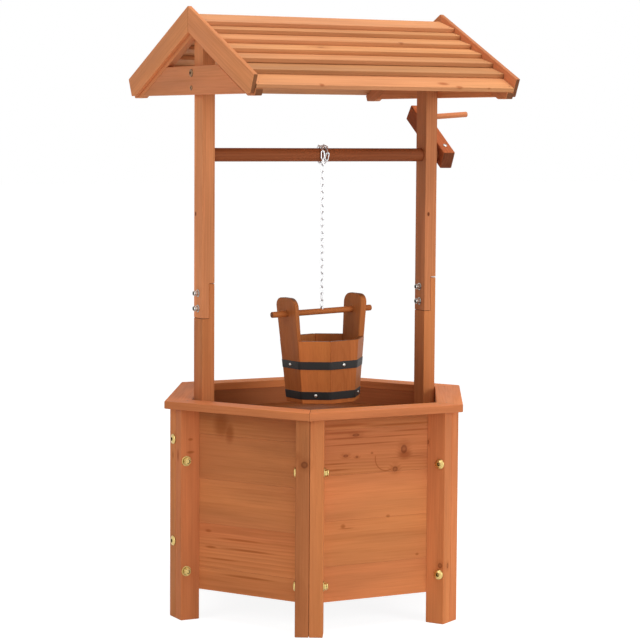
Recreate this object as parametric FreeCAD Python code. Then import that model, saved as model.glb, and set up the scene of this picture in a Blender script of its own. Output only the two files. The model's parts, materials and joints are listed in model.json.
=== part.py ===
import FreeCAD, Part
import math
import os

# Wishing well planter: a six-sided planter box on six legs, with two uprights that carry a small
# gabled roof, and a windlass whose chain holds a wooden bucket.
# Millimetres. The origin is the middle of the hexagon on the floor, +Z is up, +X points to the
# crank, and two of the six corners lie on the X axis.

# Driving dimensions: planter box
sides = 6
rim_corner_radius = 320.0
rim_width = 49.0
rim_thickness = 14.3
rim_top = 411.0
panel_thickness = 9.0
panel_bottom = 57.0
panel_board_width = 83.5
panel_board_gap = 0.8
batten_depth = 38.0
batten_width = 25.4
# Width of the topmost board of each panel, counted round from the one that faces 30 degrees
top_board_widths = (58.0, 35.0, 70.0, 46.7, 24.2, 52.0)

# Driving dimensions: planter floor
deck_depth = 46.0
deck_thickness = 9.0
deck_boards = 8
deck_gap = 3.0
deck_clearance = 1.2
cleat_width = 20.0
cleat_height = 25.0
cleat_end_gap = 42.0

# Driving dimensions: uprights and their half-lap joints
upright_gap = 1.0
lap_rise = 151.0
lap_length = 68.0
lap_tongue = 14.0
lap_end_gap = 1.5
lap_bolt_rises = (19.5, 48.0)

# Driving dimensions: roof
roof_pitch = 25.0
roof_apex = 1141.0
bargeboard_thickness = 8.0
bargeboard_width = 43.5
bargeboard_reach = 279.5
rafter_thickness = 14.3
rafter_width = 25.2
rafter_drop = 8.0
rafter_foot_drop = 4.0
rafter_end_step = 3.0
eave_end_height = 32.67
tie_height = 53.0
tie_fit = 0.4
slats_per_slope = 7
slat_lap = 13.5
slat_thickness = 8.6
slat_eave_inset = 9.5
slat_side_gap = 0.3
ridge_slat_reach = 47.7
ridge_slat_step = 27.8
ridge_slat_lift = 6.0
seat_gap = 0.12

# Driving dimensions: windlass
axle_drop = 110.5
shaft_diameter = 25.4
shaft_tenon_diameter = 20.0
shaft_end_wall = 6.0
shaft_end_play = 0.5
running_fit = 0.08
crank_gap = 8.0
crank_thickness = 26.0
crank_width = 34.0
crank_offset = 5.5
crank_reach = 137.5
crank_tail = 26.0
crank_tail_skew = 11.0
crank_angle = 35.4
peg_diameter = 11.0
peg_backing = 2.0
peg_inset = 18.5
peg_reach = 101.0
peg_rise = 4.0

# Driving dimensions: bucket
staves = 8
bucket_x = 1.0
bucket_gap = 34.3
rod_diameter = 11.5
rod_length = 227.0
rod_above_rim = 50.3
handle_above_rod = 30.7
bucket_depth = 120.0
bucket_floor_apothem = 65.7
bucket_flare = 0.087
stave_thickness = 11.0
handle_corner = 18.0
bottom_thickness = 9.0
bottom_recess = 8.0
bottom_fit = 0.3
hoop_width = 15.0
hoop_thickness = 1.2
hoop_heights = (8.5, 66.0)
rod_fit = 0.08
bucket_yaw = 6.0
bucket_lean = 1.4

# Driving dimensions: chain
wire = 2.2
link_width = 8.2
link_pitch_aim = 12.9
link_play = 0.35
staple_play = 0.35
staple_side_play = 0.9
staple_depth = 2.0
chain_lie = 3.3
chain_lean = 45.0
wound_turns = 1.45
wound_pitch = 9.6

# Driving dimensions: fasteners
leg_bolt_inset = 11.0
leg_bolt_rise = 36.0
leg_bolt_drop = 111.0
upright_bolt_rise = 89.0
upright_bolt_drop = 73.0
upright_bolt_y = 8.0
m8_diameter = 8.0
m8_head_diameter = 19.0
m8_head_height = 4.5
m8_nut_flats = 13.0
m8_nut_height = 6.5
m8_washer_diameter = 19.0
m8_washer_thickness = 1.5
m6_diameter = 6.0
m6_head_flats = 10.0
m6_head_height = 4.0
m6_nut_height = 8.0
m6_washer_diameter = 14.0
m6_washer_thickness = 1.2
bolt_end = 1.0
tie_bolt_rise = 40.0
tie_bolt_head_diameter = 14.5
tie_bolt_head_height = 3.0
tie_screw_rise = 12.5
tie_screw_diameter = 4.5
tie_screw_head_diameter = 9.0
tie_screw_head_height = 2.0
tie_screw_length = 32.0
crank_screw_diameter = 4.0
crank_screw_head_diameter = 8.5
crank_screw_head_height = 2.2
rivet_diameter = 3.0
rivet_head_diameter = 6.4
rivet_head_height = 1.8
rivet_length = 9.0
nail_diameter = 1.6
nail_head_diameter = 3.0
nail_head_height = 0.8
rim_nail_length = 34.0
panel_nail_length = 24.0
roof_nail_length = 24.0
roof_nail_edge = 9.0

# Sizes that follow from the ones above
turn = 360.0 / sides
half_turn = math.radians(turn / 2)
rim_bottom = rim_top - rim_thickness
panel_inner = rim_corner_radius * math.cos(half_turn) - rim_width
panel_outer = panel_inner + panel_thickness
leg_seam = panel_outer / math.cos(half_turn)
leg_side = (panel_outer - batten_width * math.sin(half_turn)) / math.cos(half_turn)
leg_outer = leg_side + batten_depth
upright_half = batten_depth / 2
upright_outer = (panel_inner - upright_half * math.sin(half_turn)) / math.cos(half_turn) - upright_gap
upright_inner = upright_outer - batten_width
lap_bottom = rim_top + lap_rise
lap_top = lap_bottom + lap_length
lap_bolt_heights = [lap_bottom + rise for rise in lap_bolt_rises]
deck_top = rim_top - deck_depth
deck_bottom = deck_top - deck_thickness
leg_bolt_heights = (panel_bottom + leg_bolt_rise, rim_top - leg_bolt_drop)
upright_bolt_heights = (panel_bottom + upright_bolt_rise, rim_top - upright_bolt_drop)

slope = math.radians(roof_pitch)
fall = math.tan(slope)
rafter_outer = upright_outer + rafter_thickness
rafter_low = roof_apex - (bargeboard_width + rafter_drop) / math.cos(slope)
rafter_high = rafter_low + rafter_width / math.cos(slope)
tie_bottom = roof_apex - bargeboard_reach * fall - eave_end_height
rafter_foot = tie_bottom - rafter_foot_drop
slat_eave_reach = bargeboard_reach - slat_eave_inset
slope_length = slat_eave_reach / math.cos(slope)
ridge_slat_start = slope_length - ridge_slat_reach / math.cos(slope)
slat_pitch = (ridge_slat_start - ridge_slat_step) / (slats_per_slope - 2)
slat_width = slat_pitch + slat_lap

axle_height = tie_bottom - axle_drop
shaft_radius = shaft_diameter / 2
shaft_start = shaft_end_wall - upright_outer
crank_inner = upright_outer + crank_gap
crank_outer = crank_inner + crank_thickness
peg_place = crank_reach - peg_inset
chain_radius = shaft_radius + chain_lie
bucket_y = -chain_radius
rod_height = deck_top + bucket_gap + bucket_depth + rod_above_rim
chain_foot = rod_height + rod_diameter / 2 + staple_play + wire + link_play
chain_length = axle_height - chain_foot
hanging_link_count = 2 * round(chain_length / (2 * link_pitch_aim))
link_pitch = chain_length / (hanging_link_count + 0.5)

UP = FreeCAD.Vector(0, 0, 1)
ALONG_X = FreeCAD.Vector(1, 0, 0)
ALONG_Y = FreeCAD.Vector(0, 1, 0)
ORIGIN = FreeCAD.Vector(0, 0, 0)


def point(x, y, z):
    return FreeCAD.Vector(x, y, z)


def box(low, high):
    size = [high[i] - low[i] for i in range(3)]
    return Part.makeBox(size[0], size[1], size[2], point(*low))


def prism(outline, low, high):
    """An outline in the XY plane, standing from one height to another."""
    corners = [point(x, y, low) for x, y in outline]
    face = Part.Face(Part.makePolygon(corners + corners[:1]))
    return face.extrude(point(0, 0, high - low))


def side_prism(outline, low, high):
    """An outline in the YZ plane, reaching from one X to another."""
    corners = [point(low, y, z) for y, z in outline]
    face = Part.Face(Part.makePolygon(corners + corners[:1]))
    return face.extrude(point(high - low, 0, 0))


def block(lower, upper):
    """A solid with flat faces between two rings of corners, one above the other."""
    count = len(lower)
    rings = [lower + lower[:1], upper + upper[:1]]
    faces = [Part.Face(Part.makePolygon(ring)) for ring in rings]
    for i in range(count):
        side = [lower[i], lower[(i + 1) % count], upper[(i + 1) % count], upper[i], lower[i]]
        faces.append(Part.Face(Part.makePolygon(side)))
    return Part.Solid(Part.makeShell(faces))


def rotated(shape, degrees, centre=ORIGIN, axis=UP):
    copy = shape.copy()
    copy.rotate(centre, axis, degrees)
    return copy


def moved(shape, shift):
    copy = shape.copy()
    copy.translate(shift)
    return copy


def mirrored_x(shape):
    return shape.mirror(ORIGIN, ALONG_X)


def mirrored_y(shape):
    return shape.mirror(ORIGIN, ALONG_Y)


def polar(radius, degrees):
    angle = math.radians(degrees)
    return radius * math.cos(angle), radius * math.sin(angle)


def cut_by(shape, tools):
    return shape.cut(tools) if tools else shape


# Fasteners lie with their head's seat at the origin and their shank along -Z.


def placed(shape, seat, direction):
    """Stand a fastener with its seat at a point and its head pointing along a direction."""
    copy = shape.copy()
    stand = FreeCAD.Placement(seat, FreeCAD.Rotation(UP, direction))
    copy.Placement = stand * copy.Placement
    return copy


def dome(diameter, height):
    """A rounded head: a cap of a sphere on a short rim."""
    rim = height * 0.25
    rise = height - rim
    radius = ((diameter / 2) ** 2 + rise ** 2) / (2 * rise)
    ball = Part.makeSphere(radius, point(0, 0, height - radius))
    cap = ball.common(Part.makeCylinder(diameter / 2, rise, point(0, 0, rim)))
    return cap.fuse(Part.makeCylinder(diameter / 2, rim)).removeSplitter()


def hexagon(flats, low, high):
    radius = flats / math.sqrt(3)
    return prism([polar(radius, 60 * i) for i in range(6)], low, high)


def shank(diameter, length):
    return Part.makeCylinder(diameter / 2, length, point(0, 0, -length))


def domed_bolt(diameter, length, head_diameter, head_height):
    return dome(head_diameter, head_height).fuse(shank(diameter, length))


def hex_bolt(length):
    head = hexagon(m6_head_flats, m6_washer_thickness, m6_washer_thickness + m6_head_height)
    return head.fuse(moved(shank(m6_diameter, length), point(0, 0, m6_washer_thickness)))


def washer(outside, hole, thickness):
    return Part.makeCylinder(outside / 2, thickness).cut(Part.makeCylinder(hole / 2, thickness))


def m8_nut():
    """A nut on its washer, as one pressed piece, seated at the origin."""
    flange = Part.makeCylinder(m8_washer_diameter / 2, m8_washer_thickness)
    body = hexagon(m8_nut_flats, m8_washer_thickness, m8_washer_thickness + m8_nut_height)
    height = m8_washer_thickness + m8_nut_height
    return flange.fuse(body).cut(Part.makeCylinder(m8_diameter / 2, height))


def m6_nut():
    low = m6_washer_thickness
    high = low + m6_nut_height
    return hexagon(m6_head_flats, low, high).cut(Part.makeCylinder(m6_diameter / 2, high))


def nail(length):
    head = Part.makeCylinder(nail_head_diameter / 2, nail_head_height, point(0, 0, -nail_head_height))
    return head.fuse(shank(nail_diameter, length))


m8_stand = m8_washer_thickness + m8_nut_height + bolt_end
m6_stand = m6_washer_thickness + m6_nut_height + bolt_end


# Fasteners of the planter box


def leg_bolt_seats():
    """Each leg's two battens are clamped by bolts that cross the seam between them."""
    seats = []
    for k in range(sides):
        across = point(*polar(1, turn * k + 90), 0)
        for height in leg_bolt_heights:
            middle = point(*polar(leg_outer - leg_bolt_inset, turn * k), height)
            seats.append((middle - across * batten_width, middle + across * batten_width, -across))
    return seats


def make_leg_bolts():
    length = 2 * batten_width + m8_stand
    bolt = domed_bolt(m8_diameter, length, m8_head_diameter, m8_head_height)
    return [placed(bolt, head, way) for head, _, way in leg_bolt_seats()]


def upright_bolt_seats():
    """Long bolts reach through the legs on the X axis and the box wall into the uprights."""
    seats = []
    for side in (-1, 1):
        for height in upright_bolt_heights:
            outside = point(side * leg_outer, upright_bolt_y, height)
            inside = point(side * upright_inner, upright_bolt_y, height)
            seats.append((outside, inside, point(side, 0, 0)))
    return seats


def make_upright_bolts():
    length = leg_outer - upright_inner + m8_stand
    bolt = domed_bolt(m8_diameter, length, m8_head_diameter, m8_head_height)
    return [placed(bolt, head, way) for head, _, way in upright_bolt_seats()]


def make_planter_nuts():
    nut = m8_nut()
    seats = leg_bolt_seats() + upright_bolt_seats()
    return [placed(nut, end, point(0, 0, 0) - way) for _, end, way in seats]


# Planter box


def first_side(inner, outer):
    """The outline of the side that faces 30 degrees, mitred at both of its corners."""
    reach = 1 / math.cos(half_turn)
    return [
        polar(inner * reach, 0),
        polar(outer * reach, 0),
        polar(outer * reach, turn),
        polar(inner * reach, turn),
    ]


def make_rim_board(k, nails):
    outer = rim_corner_radius * math.cos(half_turn)
    board = prism(first_side(outer - rim_width, outer), rim_bottom, rim_top)
    return rotated(board, turn * k).cut(nails)


def panel_joints(k):
    """Heights of the joints between one panel's boards, from the top down."""
    joints = [rim_bottom]
    height = rim_bottom - top_board_widths[k]
    while height > panel_bottom:
        joints.append(height)
        height -= panel_board_width
    return joints + [panel_bottom]


def panel_boards(k):
    joints = panel_joints(k)
    boards = []
    for high, low in zip(joints, joints[1:]):
        foot = low + (panel_board_gap if low > panel_bottom else 0)
        boards.append((foot, high))
    return boards


def make_side_panel(k, holes):
    outline = first_side(panel_inner, panel_outer)
    boards = [rotated(prism(outline, low, high), turn * k) for low, high in panel_boards(k)]
    return [cut_by(board, holes) for board in boards]


def make_leg(k, holes):
    outline = [(leg_seam, 0), (leg_outer, 0), (leg_outer, batten_width), (leg_side, batten_width)]
    batten = prism(outline, 0, rim_bottom)
    pair = [batten, mirrored_y(batten)]
    return [cut_by(rotated(half, turn * k), holes) for half in pair]


def make_rim_nails():
    """One nail near each mitre of the rim goes down into each leg batten."""
    brad = nail(rim_nail_length)
    middle = (leg_side + leg_outer) / 2
    nails = []
    for k in range(sides):
        for side in (-1, 1):
            x, y = middle, side * batten_width / 2
            spot = rotated(Part.Vertex(point(x, y, rim_top)), turn * k).Point
            nails.append(placed(brad, spot, UP))
    return nails


def make_panel_nails():
    """Each panel board is nailed from inside the box to the leg at either of its ends."""
    brad = nail(panel_nail_length)
    corner = panel_inner * math.tan(half_turn)
    nails = []
    for k in range(sides):
        facing = turn * (k + 0.5)
        outward = point(*polar(1, facing), 0)
        across = point(*polar(1, facing + 90), 0)
        for low, high in panel_boards(k):
            for side in (-1, 1):
                along = across * (side * (corner - batten_width / 2))
                spot = outward * panel_inner + along + point(0, 0, (low + high) / 2)
                nails.append(placed(brad, spot, point(0, 0, 0) - outward))
    return nails


# Planter floor


def upright_notches():
    reach = upright_half + deck_clearance
    edge = upright_inner - deck_clearance
    notch = box((edge, -reach, panel_bottom), (rim_corner_radius, reach, rim_bottom))
    return [notch, mirrored_x(notch)]


def make_deck_boards():
    apothem = panel_inner - deck_clearance
    corners = [polar(apothem / math.cos(half_turn), turn * k) for k in range(sides)]
    floor = prism(corners, deck_bottom, deck_top).cut(upright_notches())
    pitch = (2 * apothem + deck_gap) / deck_boards
    boards = []
    for i in range(deck_boards):
        low = -apothem + pitch * i
        strip = box((-rim_corner_radius, low, deck_bottom), (rim_corner_radius, low + pitch - deck_gap, deck_top))
        boards.append(floor.common(strip))
    return boards


def make_deck_cleats():
    corner = panel_inner * math.tan(half_turn)
    reach = corner - cleat_end_gap
    low = point(panel_inner - cleat_width, -reach, deck_bottom - cleat_height)
    cleat = Part.makeBox(cleat_width, 2 * reach, cleat_height, low)
    return [rotated(cleat, turn * (k + 0.5)) for k in range(sides)]


def make_deck_bearer():
    reach = panel_inner - cleat_width
    half = batten_width / 2
    return box((-half, -reach, deck_bottom - batten_depth), (half, reach, deck_bottom))


# Uprights


def lap_bolt_seats():
    """Both uprights have the heads on their +X face and the nuts on their -X face."""
    seats = []
    for side in (-1, 1):
        low, high = upright_span(side)
        for height in lap_bolt_heights:
            seats.append((point(high, 0, height), point(low, 0, height), point(1, 0, 0)))
    return seats


def make_lap_bolts():
    bolt = hex_bolt(batten_width + m6_washer_thickness + m6_stand)
    return [placed(bolt, head, way) for head, _, way in lap_bolt_seats()]


def make_lap_nuts():
    nut = m6_nut()
    return [placed(nut, end, point(0, 0, 0) - way) for _, end, way in lap_bolt_seats()]


def make_lap_washers():
    ring = washer(m6_washer_diameter, m6_diameter, m6_washer_thickness)
    heads = [placed(ring, head, way) for head, _, way in lap_bolt_seats()]
    ends = [placed(ring, end, point(0, 0, 0) - way) for _, end, way in lap_bolt_seats()]
    return heads + ends


def upright_span(side):
    """Low and high X of the upright on one side."""
    return sorted((side * upright_inner, side * upright_outer))


def shaft_hole():
    """The bore that the windlass turns in: through the right upright, blind in the left one."""
    start = point(shaft_start, 0, axle_height)
    return Part.makeCylinder(shaft_radius + running_fit, 2 * rim_corner_radius, start, ALONG_X)


def make_lower_upright(side, holes):
    """The lower length, whose tongue is the part on the +X side."""
    low, high = upright_span(side)
    post = box((low, -upright_half, panel_bottom), (high, upright_half, lap_bottom))
    tongue_high = lap_top - lap_end_gap
    tongue = box((low + lap_tongue, -upright_half, lap_bottom), (high, upright_half, tongue_high))
    return post.fuse(tongue).removeSplitter().cut(holes)


def make_upper_upright(side, holes):
    """The upper length, whose tongue is the part on the -X side. Its head follows the roof."""
    low, high = upright_span(side)
    shoulder = rafter_high - upright_half * fall
    outline = [
        (-upright_half, lap_top),
        (upright_half, lap_top),
        (upright_half, shoulder),
        (0, rafter_high),
        (-upright_half, shoulder),
    ]
    post = side_prism(outline, low, high)
    tongue_low = lap_bottom + lap_end_gap
    tongue = box((low, -upright_half, tongue_low), (low + lap_tongue, upright_half, lap_top))
    return post.fuse(tongue).removeSplitter().cut(holes + [shaft_hole()])


# Roof


def square_end(reach, apex, foot):
    """Where a cut square to the slope, starting at a roof edge's end, meets a level foot."""
    drop = apex - reach * fall - foot
    return reach - drop * fall


def sloping_board(apex, width, reach, foot):
    """The outline of a board along the +Y slope: plumb at the apex, square at the end, level foot."""
    low = apex - width / math.cos(slope)
    return [
        (0, low),
        ((low - foot) / fall, foot),
        (square_end(reach, apex, foot), foot),
        (reach, apex - reach * fall),
        (0, apex),
    ]


def rafter_reach():
    """The rafters' ends lie a step beyond the bargeboards' square ends."""
    drop = (roof_apex - rafter_high) * math.cos(slope)
    return bargeboard_reach - drop * math.sin(slope) + rafter_end_step


def four_ways(shape):
    """The same piece at the front and back of the right and left gables."""
    back = shape
    front = mirrored_y(shape)
    return {
        "right_back": back,
        "right_front": front,
        "left_back": mirrored_x(back),
        "left_front": mirrored_x(front),
    }


def make_bargeboards():
    outline = sloping_board(roof_apex, bargeboard_width, bargeboard_reach, tie_bottom)
    board = side_prism(outline, rafter_outer, rafter_outer + bargeboard_thickness)
    return four_ways(board)


def make_rafters(nails):
    outline = sloping_board(rafter_high, rafter_width, rafter_reach(), rafter_foot)
    rafters = four_ways(side_prism(outline, upright_outer, rafter_outer))
    return {name: rafter.cut(nails) for name, rafter in rafters.items()}


def make_tie(side, holes):
    top = tie_bottom + tie_height
    reach_low = (rafter_low - tie_bottom) / fall - tie_fit
    reach_high = (rafter_low - top) / fall - tie_fit
    outline = [(-reach_low, tie_bottom), (reach_low, tie_bottom), (reach_high, top), (-reach_high, top)]
    low, high = sorted((side * upright_outer, side * rafter_outer))
    return side_prism(outline, low, high).cut(holes)


def tie_seats(height):
    """Where the fasteners in the ties' outer faces sit, and the way that their heads face."""
    return [(point(side * rafter_outer, 0, height), point(side, 0, 0)) for side in (-1, 1)]


def make_tie_bolts():
    length = rafter_thickness + batten_width - bolt_end
    bolt = domed_bolt(m6_diameter, length, tie_bolt_head_diameter, tie_bolt_head_height)
    return [placed(bolt, seat, way) for seat, way in tie_seats(tie_bottom + tie_bolt_rise)]


def make_tie_screws():
    screw = domed_bolt(tie_screw_diameter, tie_screw_length, tie_screw_head_diameter, tie_screw_head_height)
    return [placed(screw, seat, way) for seat, way in tie_seats(tie_bottom + tie_screw_rise)]


def slat_rests():
    """Each slat's start up the slope, its underside's height there and its tilt from the slope.

    The eave slat lies flat on the rafters. Each of the others has its upper edge on the rafters
    and lies on the slat below. The ridge slats rise a little and meet at the ridge.
    """
    tilt = math.asin((slat_thickness + seat_gap) / slat_pitch)
    lift = slat_width * math.sin(tilt)
    rests = [(0.0, 0.0, 0.0)]
    for i in range(1, slats_per_slope - 1):
        rests.append((slat_pitch * i, lift, tilt))
    beyond = ridge_slat_step - slat_thickness * math.sin(tilt)
    top = lift + slat_thickness * math.cos(tilt) - beyond * math.tan(tilt) + seat_gap
    ridge_tilt = math.atan((top - ridge_slat_lift) / (slope_length - ridge_slat_start))
    rests.append((ridge_slat_start, top, ridge_tilt))
    return rests


def on_slope(along, above):
    """A point on the +Y slope, from its distance up from the eave and its height off the rafters."""
    y = slat_eave_reach - along * math.cos(slope) + above * math.sin(slope)
    z = rafter_high - slat_eave_reach * fall + along * math.sin(slope) + above * math.cos(slope)
    return y, z


def slat_outline(start, lift, tilt, length):
    ends = [(0, 0), (length, 0), (length, slat_thickness), (0, slat_thickness)]
    outline = []
    for along, above in ends:
        u = start + along * math.cos(tilt) + above * math.sin(tilt)
        v = lift - along * math.sin(tilt) + above * math.cos(tilt)
        outline.append(on_slope(u, v))
    return outline


def make_slats():
    """The slats of the +Y slope, from the eave to the ridge."""
    reach = rafter_outer - slat_side_gap
    half_space = box((-reach, 0, 0), (reach, 2 * slat_eave_reach, 2 * roof_apex))
    slats = []
    for i, (start, lift, tilt) in enumerate(slat_rests()):
        is_ridge = i == slats_per_slope - 1
        length = 2 * slat_width if is_ridge else slat_width
        slat = side_prism(slat_outline(start, lift, tilt, length), -reach, reach)
        slats.append(slat.common(half_space) if is_ridge else slat)
    return slats


def make_roof_nails():
    """At each end of each slat a nail goes through it, and the slat below, into the rafter."""
    brad = nail(roof_nail_length)
    middle = (upright_outer + rafter_outer) / 2
    outward = point(0, math.sin(slope), math.cos(slope))
    nails = []
    for start, lift, tilt in slat_rests():
        u = start + roof_nail_edge * math.cos(tilt) + slat_thickness * math.sin(tilt)
        v = lift - roof_nail_edge * math.sin(tilt) + slat_thickness * math.cos(tilt)
        y, z = on_slope(u, v)
        for side in (-1, 1):
            nails.append(placed(brad, point(side * middle, y, z), outward))
    return nails


# Windlass


def crank_frame(shape):
    """Turn a piece drawn with the crank along +Y to where the crank stands."""
    centre = point(0, 0, axle_height)
    return rotated(moved(shape, centre), crank_angle, centre, ALONG_X)


def make_shaft(screw):
    """The shaft, with a thinner end that goes into the crank."""
    low = shaft_start + shaft_end_play
    thick = Part.makeCylinder(shaft_radius, crank_inner - low, point(low, 0, axle_height), ALONG_X)
    start = point(crank_inner, 0, axle_height)
    tenon = Part.makeCylinder(shaft_tenon_diameter / 2, crank_thickness, start, ALONG_X)
    return thick.fuse(tenon).cut(screw)


def make_crank_arm(pieces):
    top = crank_offset + crank_width / 2
    foot = crank_offset - crank_width / 2
    skew = crank_width * math.tan(math.radians(crank_tail_skew)) / 2
    outline = [(-crank_tail - skew, foot), (crank_reach, foot), (crank_reach, top), (-crank_tail + skew, top)]
    return crank_frame(side_prism(outline, crank_inner, crank_outer)).cut(pieces)


def make_crank_peg():
    """The peg stands square in the crank, apart from its slight rise."""
    sink = crank_thickness - peg_backing
    centre = crank_frame(Part.Vertex(point(crank_outer, peg_place, crank_offset))).Point
    rise = math.radians(peg_rise)
    way = point(math.cos(rise), 0, math.sin(rise))
    return Part.makeCylinder(peg_diameter / 2, sink + peg_reach, centre - way * sink, way)


def make_crank_screw():
    """A screw down through the crank's narrow side holds it to the shaft."""
    seat = point((crank_inner + crank_outer) / 2, 0, crank_offset + crank_width / 2)
    length = crank_offset + crank_width / 2
    screw = domed_bolt(crank_screw_diameter, length, crank_screw_head_diameter, crank_screw_head_height)
    return crank_frame(placed(screw, seat, UP))


# Bucket. It is drawn with the middle of its rod at the origin, then hung in its place.

rim_low = -rod_above_rim
floor_low = rim_low - bucket_depth
handle_high = handle_above_rod


def hung(shape):
    """The bucket hangs turned a little and leaning a little, on the chain."""
    copy = shape.copy()
    lean = FreeCAD.Rotation(ALONG_Y, -bucket_lean)
    yaw = FreeCAD.Rotation(UP, bucket_yaw)
    hang = FreeCAD.Placement(point(bucket_x, bucket_y, rod_height), yaw * lean)
    copy.Placement = hang * copy.Placement
    return copy


def wall_apothem(height):
    """Distance from the bucket's axis to the outside of its wall."""
    return bucket_floor_apothem + bucket_flare * (height - floor_low)


def octagon_ring(apothem, height):
    reach = apothem / math.cos(math.pi / staves)
    return [point(*polar(reach, 360 / staves * (i - 0.5)), height) for i in range(staves)]


def stave_ring(height):
    """The four corners of the +X stave's section at one height."""
    outer = wall_apothem(height)
    inner = outer - stave_thickness
    half = math.tan(math.pi / staves)
    corners = ((inner, -inner * half), (outer, -outer * half), (outer, outer * half), (inner, inner * half))
    return [point(x, y, height) for x, y in corners]


def rivet_places():
    """The upper hoop is riveted to every second stave, the lower hoop to the staves between."""
    places = []
    for i in range(staves):
        height = floor_low + hoop_heights[1 if i % 2 == 0 else 0] + hoop_width / 2
        places.append((360 / staves * i, height))
    return places


def make_rivets():
    rivet = domed_bolt(rivet_diameter, rivet_length, rivet_head_diameter, rivet_head_height)
    tilt = math.atan(bucket_flare)
    rivets = []
    for facing, height in rivet_places():
        seat = point(wall_apothem(height) + hoop_thickness / math.cos(tilt), 0, height)
        way = point(math.cos(tilt), 0, -math.sin(tilt))
        rivets.append(rotated(placed(rivet, seat, way), facing))
    return rivets


def plain_stave(top):
    return block(stave_ring(floor_low), stave_ring(top))


def rounded_top(shape):
    """Round the two top corners of a handle stave."""
    half = wall_apothem(handle_high) * math.tan(math.pi / staves)
    r = handle_corner
    far = 2 * half
    start = point(0, -half, floor_low)
    shoulder = point(0, -half, handle_high - r)
    crown = point(0, -half + r, handle_high)
    knee = r * (1 - math.sqrt(0.5))
    left = Part.Arc(shoulder, point(0, -half + knee, handle_high - knee), crown).toShape()
    right_crown = point(0, half - r, handle_high)
    right_shoulder = point(0, half, handle_high - r)
    right = Part.Arc(right_crown, point(0, half - knee, handle_high - knee), right_shoulder).toShape()
    end = point(0, half, floor_low)
    edges = [
        Part.makeLine(start, shoulder),
        left,
        Part.makeLine(crown, right_crown),
        right,
        Part.makeLine(right_shoulder, end),
        Part.makeLine(end, start),
    ]
    outline = Part.Face(Part.Wire(edges)).extrude(point(far + wall_apothem(handle_high), 0, 0))
    return shape.common(outline)


def make_handle_stave(rivets):
    """The +X handle: a stave that goes on up past the rim, with a hole for the rod."""
    stave = rounded_top(plain_stave(handle_high))
    reach = 2 * wall_apothem(handle_high)
    hole = Part.makeCylinder(rod_diameter / 2 + rod_fit, reach, ORIGIN, ALONG_X)
    return stave.cut([hole] + rivets)


def make_staves(rivets):
    """The six staves between the handles."""
    stave = plain_stave(rim_low)
    places = [i for i in range(staves) if i % (staves // 2) != 0]
    return [rotated(stave, 360 / staves * i).cut(rivets) for i in places]


def make_bucket_bottom():
    low = floor_low + bottom_recess
    high = low + bottom_thickness
    lower = octagon_ring(wall_apothem(low) - stave_thickness - bottom_fit, low)
    upper = octagon_ring(wall_apothem(high) - stave_thickness - bottom_fit, high)
    return block(lower, upper)


def make_hoop(height, rivets):
    low = floor_low + height
    high = low + hoop_width
    outer = block(octagon_ring(wall_apothem(low) + hoop_thickness, low),
                  octagon_ring(wall_apothem(high) + hoop_thickness, high))
    inner = block(octagon_ring(wall_apothem(low), low), octagon_ring(wall_apothem(high), high))
    return outer.cut([inner] + rivets)


def make_bucket_rod(staple):
    start = point(-rod_length / 2, 0, 0)
    return Part.makeCylinder(rod_diameter / 2, rod_length, start, ALONG_X).cut(staple)


# Chain. A link is drawn round the origin, long in X and flat in the XY plane.


def make_link():
    bend = (link_width - wire) / 2
    reach = (link_pitch + wire) / 2 + link_play - bend
    length = 2 * reach
    pieces = []
    for side in (-1, 1):
        pieces.append(Part.makeCylinder(wire / 2, length, point(-reach, side * bend, 0), ALONG_X))
        ring = Part.makeTorus(bend, wire / 2)
        low_x = 0 if side > 0 else -link_width
        half = Part.makeBox(link_width, 2 * link_width, 2 * wire, point(low_x, -link_width, -wire))
        pieces.append(moved(ring.common(half), point(side * reach, 0, 0)))
    return pieces[0].fuse(pieces[1:]).removeSplitter()


def make_hanging_chain():
    """The links between the rod's staple and the shaft, each crosswise to the next.

    They twist on the way up, from square with the rod to leaning as they do on the shaft.
    """
    upright_link = rotated(make_link(), -90, ORIGIN, ALONG_Y)
    twist = chain_lean - bucket_yaw
    links = []
    for i in range(hanging_link_count):
        facing = bucket_yaw + 90 * ((i + 1) % 2) + twist * i / hanging_link_count
        centre = point(bucket_x, bucket_y, chain_foot + link_pitch * (i + 0.5))
        links.append(moved(rotated(upright_link, facing), centre))
    return links


def make_chain_staple():
    """A staple across the top of the rod, whose arch goes through the lowest link."""
    half = wire + staple_side_play
    arch_high = rod_diameter / 2 + 2 * staple_play + 1.5 * wire
    centre = point(0, 0, arch_high - half)
    upper = box((-wire, -2 * half, centre.z), (wire, 2 * half, centre.z + 2 * half))
    pieces = [Part.makeTorus(half, wire / 2, centre, ALONG_X).common(upper)]
    for side in (-1, 1):
        foot = point(0, side * half, -staple_depth)
        pieces.append(Part.makeCylinder(wire / 2, centre.z + staple_depth, foot))
    return pieces[0].fuse(pieces[1:]).removeSplitter()


def make_wound_chain():
    """The chain's turns round the shaft: each link lies along a helix, leaning to either side."""
    link = make_link()
    climb = math.atan(wound_pitch / (2 * math.pi * chain_radius))
    step = 2 * math.atan(link_pitch * math.cos(climb) / 2 / chain_radius)
    count = int(2 * math.pi * wound_turns / step) + 1
    links = []
    for i in range(count):
        angle = step * i
        centre = point(
            bucket_x + wound_pitch * angle / (2 * math.pi),
            -chain_radius * math.cos(angle),
            axle_height + chain_radius * math.sin(angle),
        )
        leaning = rotated(link, -chain_lean if i % 2 else chain_lean, ORIGIN, ALONG_X)
        aimed = rotated(leaning, 90 - math.degrees(climb) * min(i, 1), ORIGIN, UP)
        faced = rotated(aimed, 90 - math.degrees(angle), ORIGIN, ALONG_X)
        links.append(moved(faced, centre))
    return links


def group(solids):
    return Part.makeCompound(solids)


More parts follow.
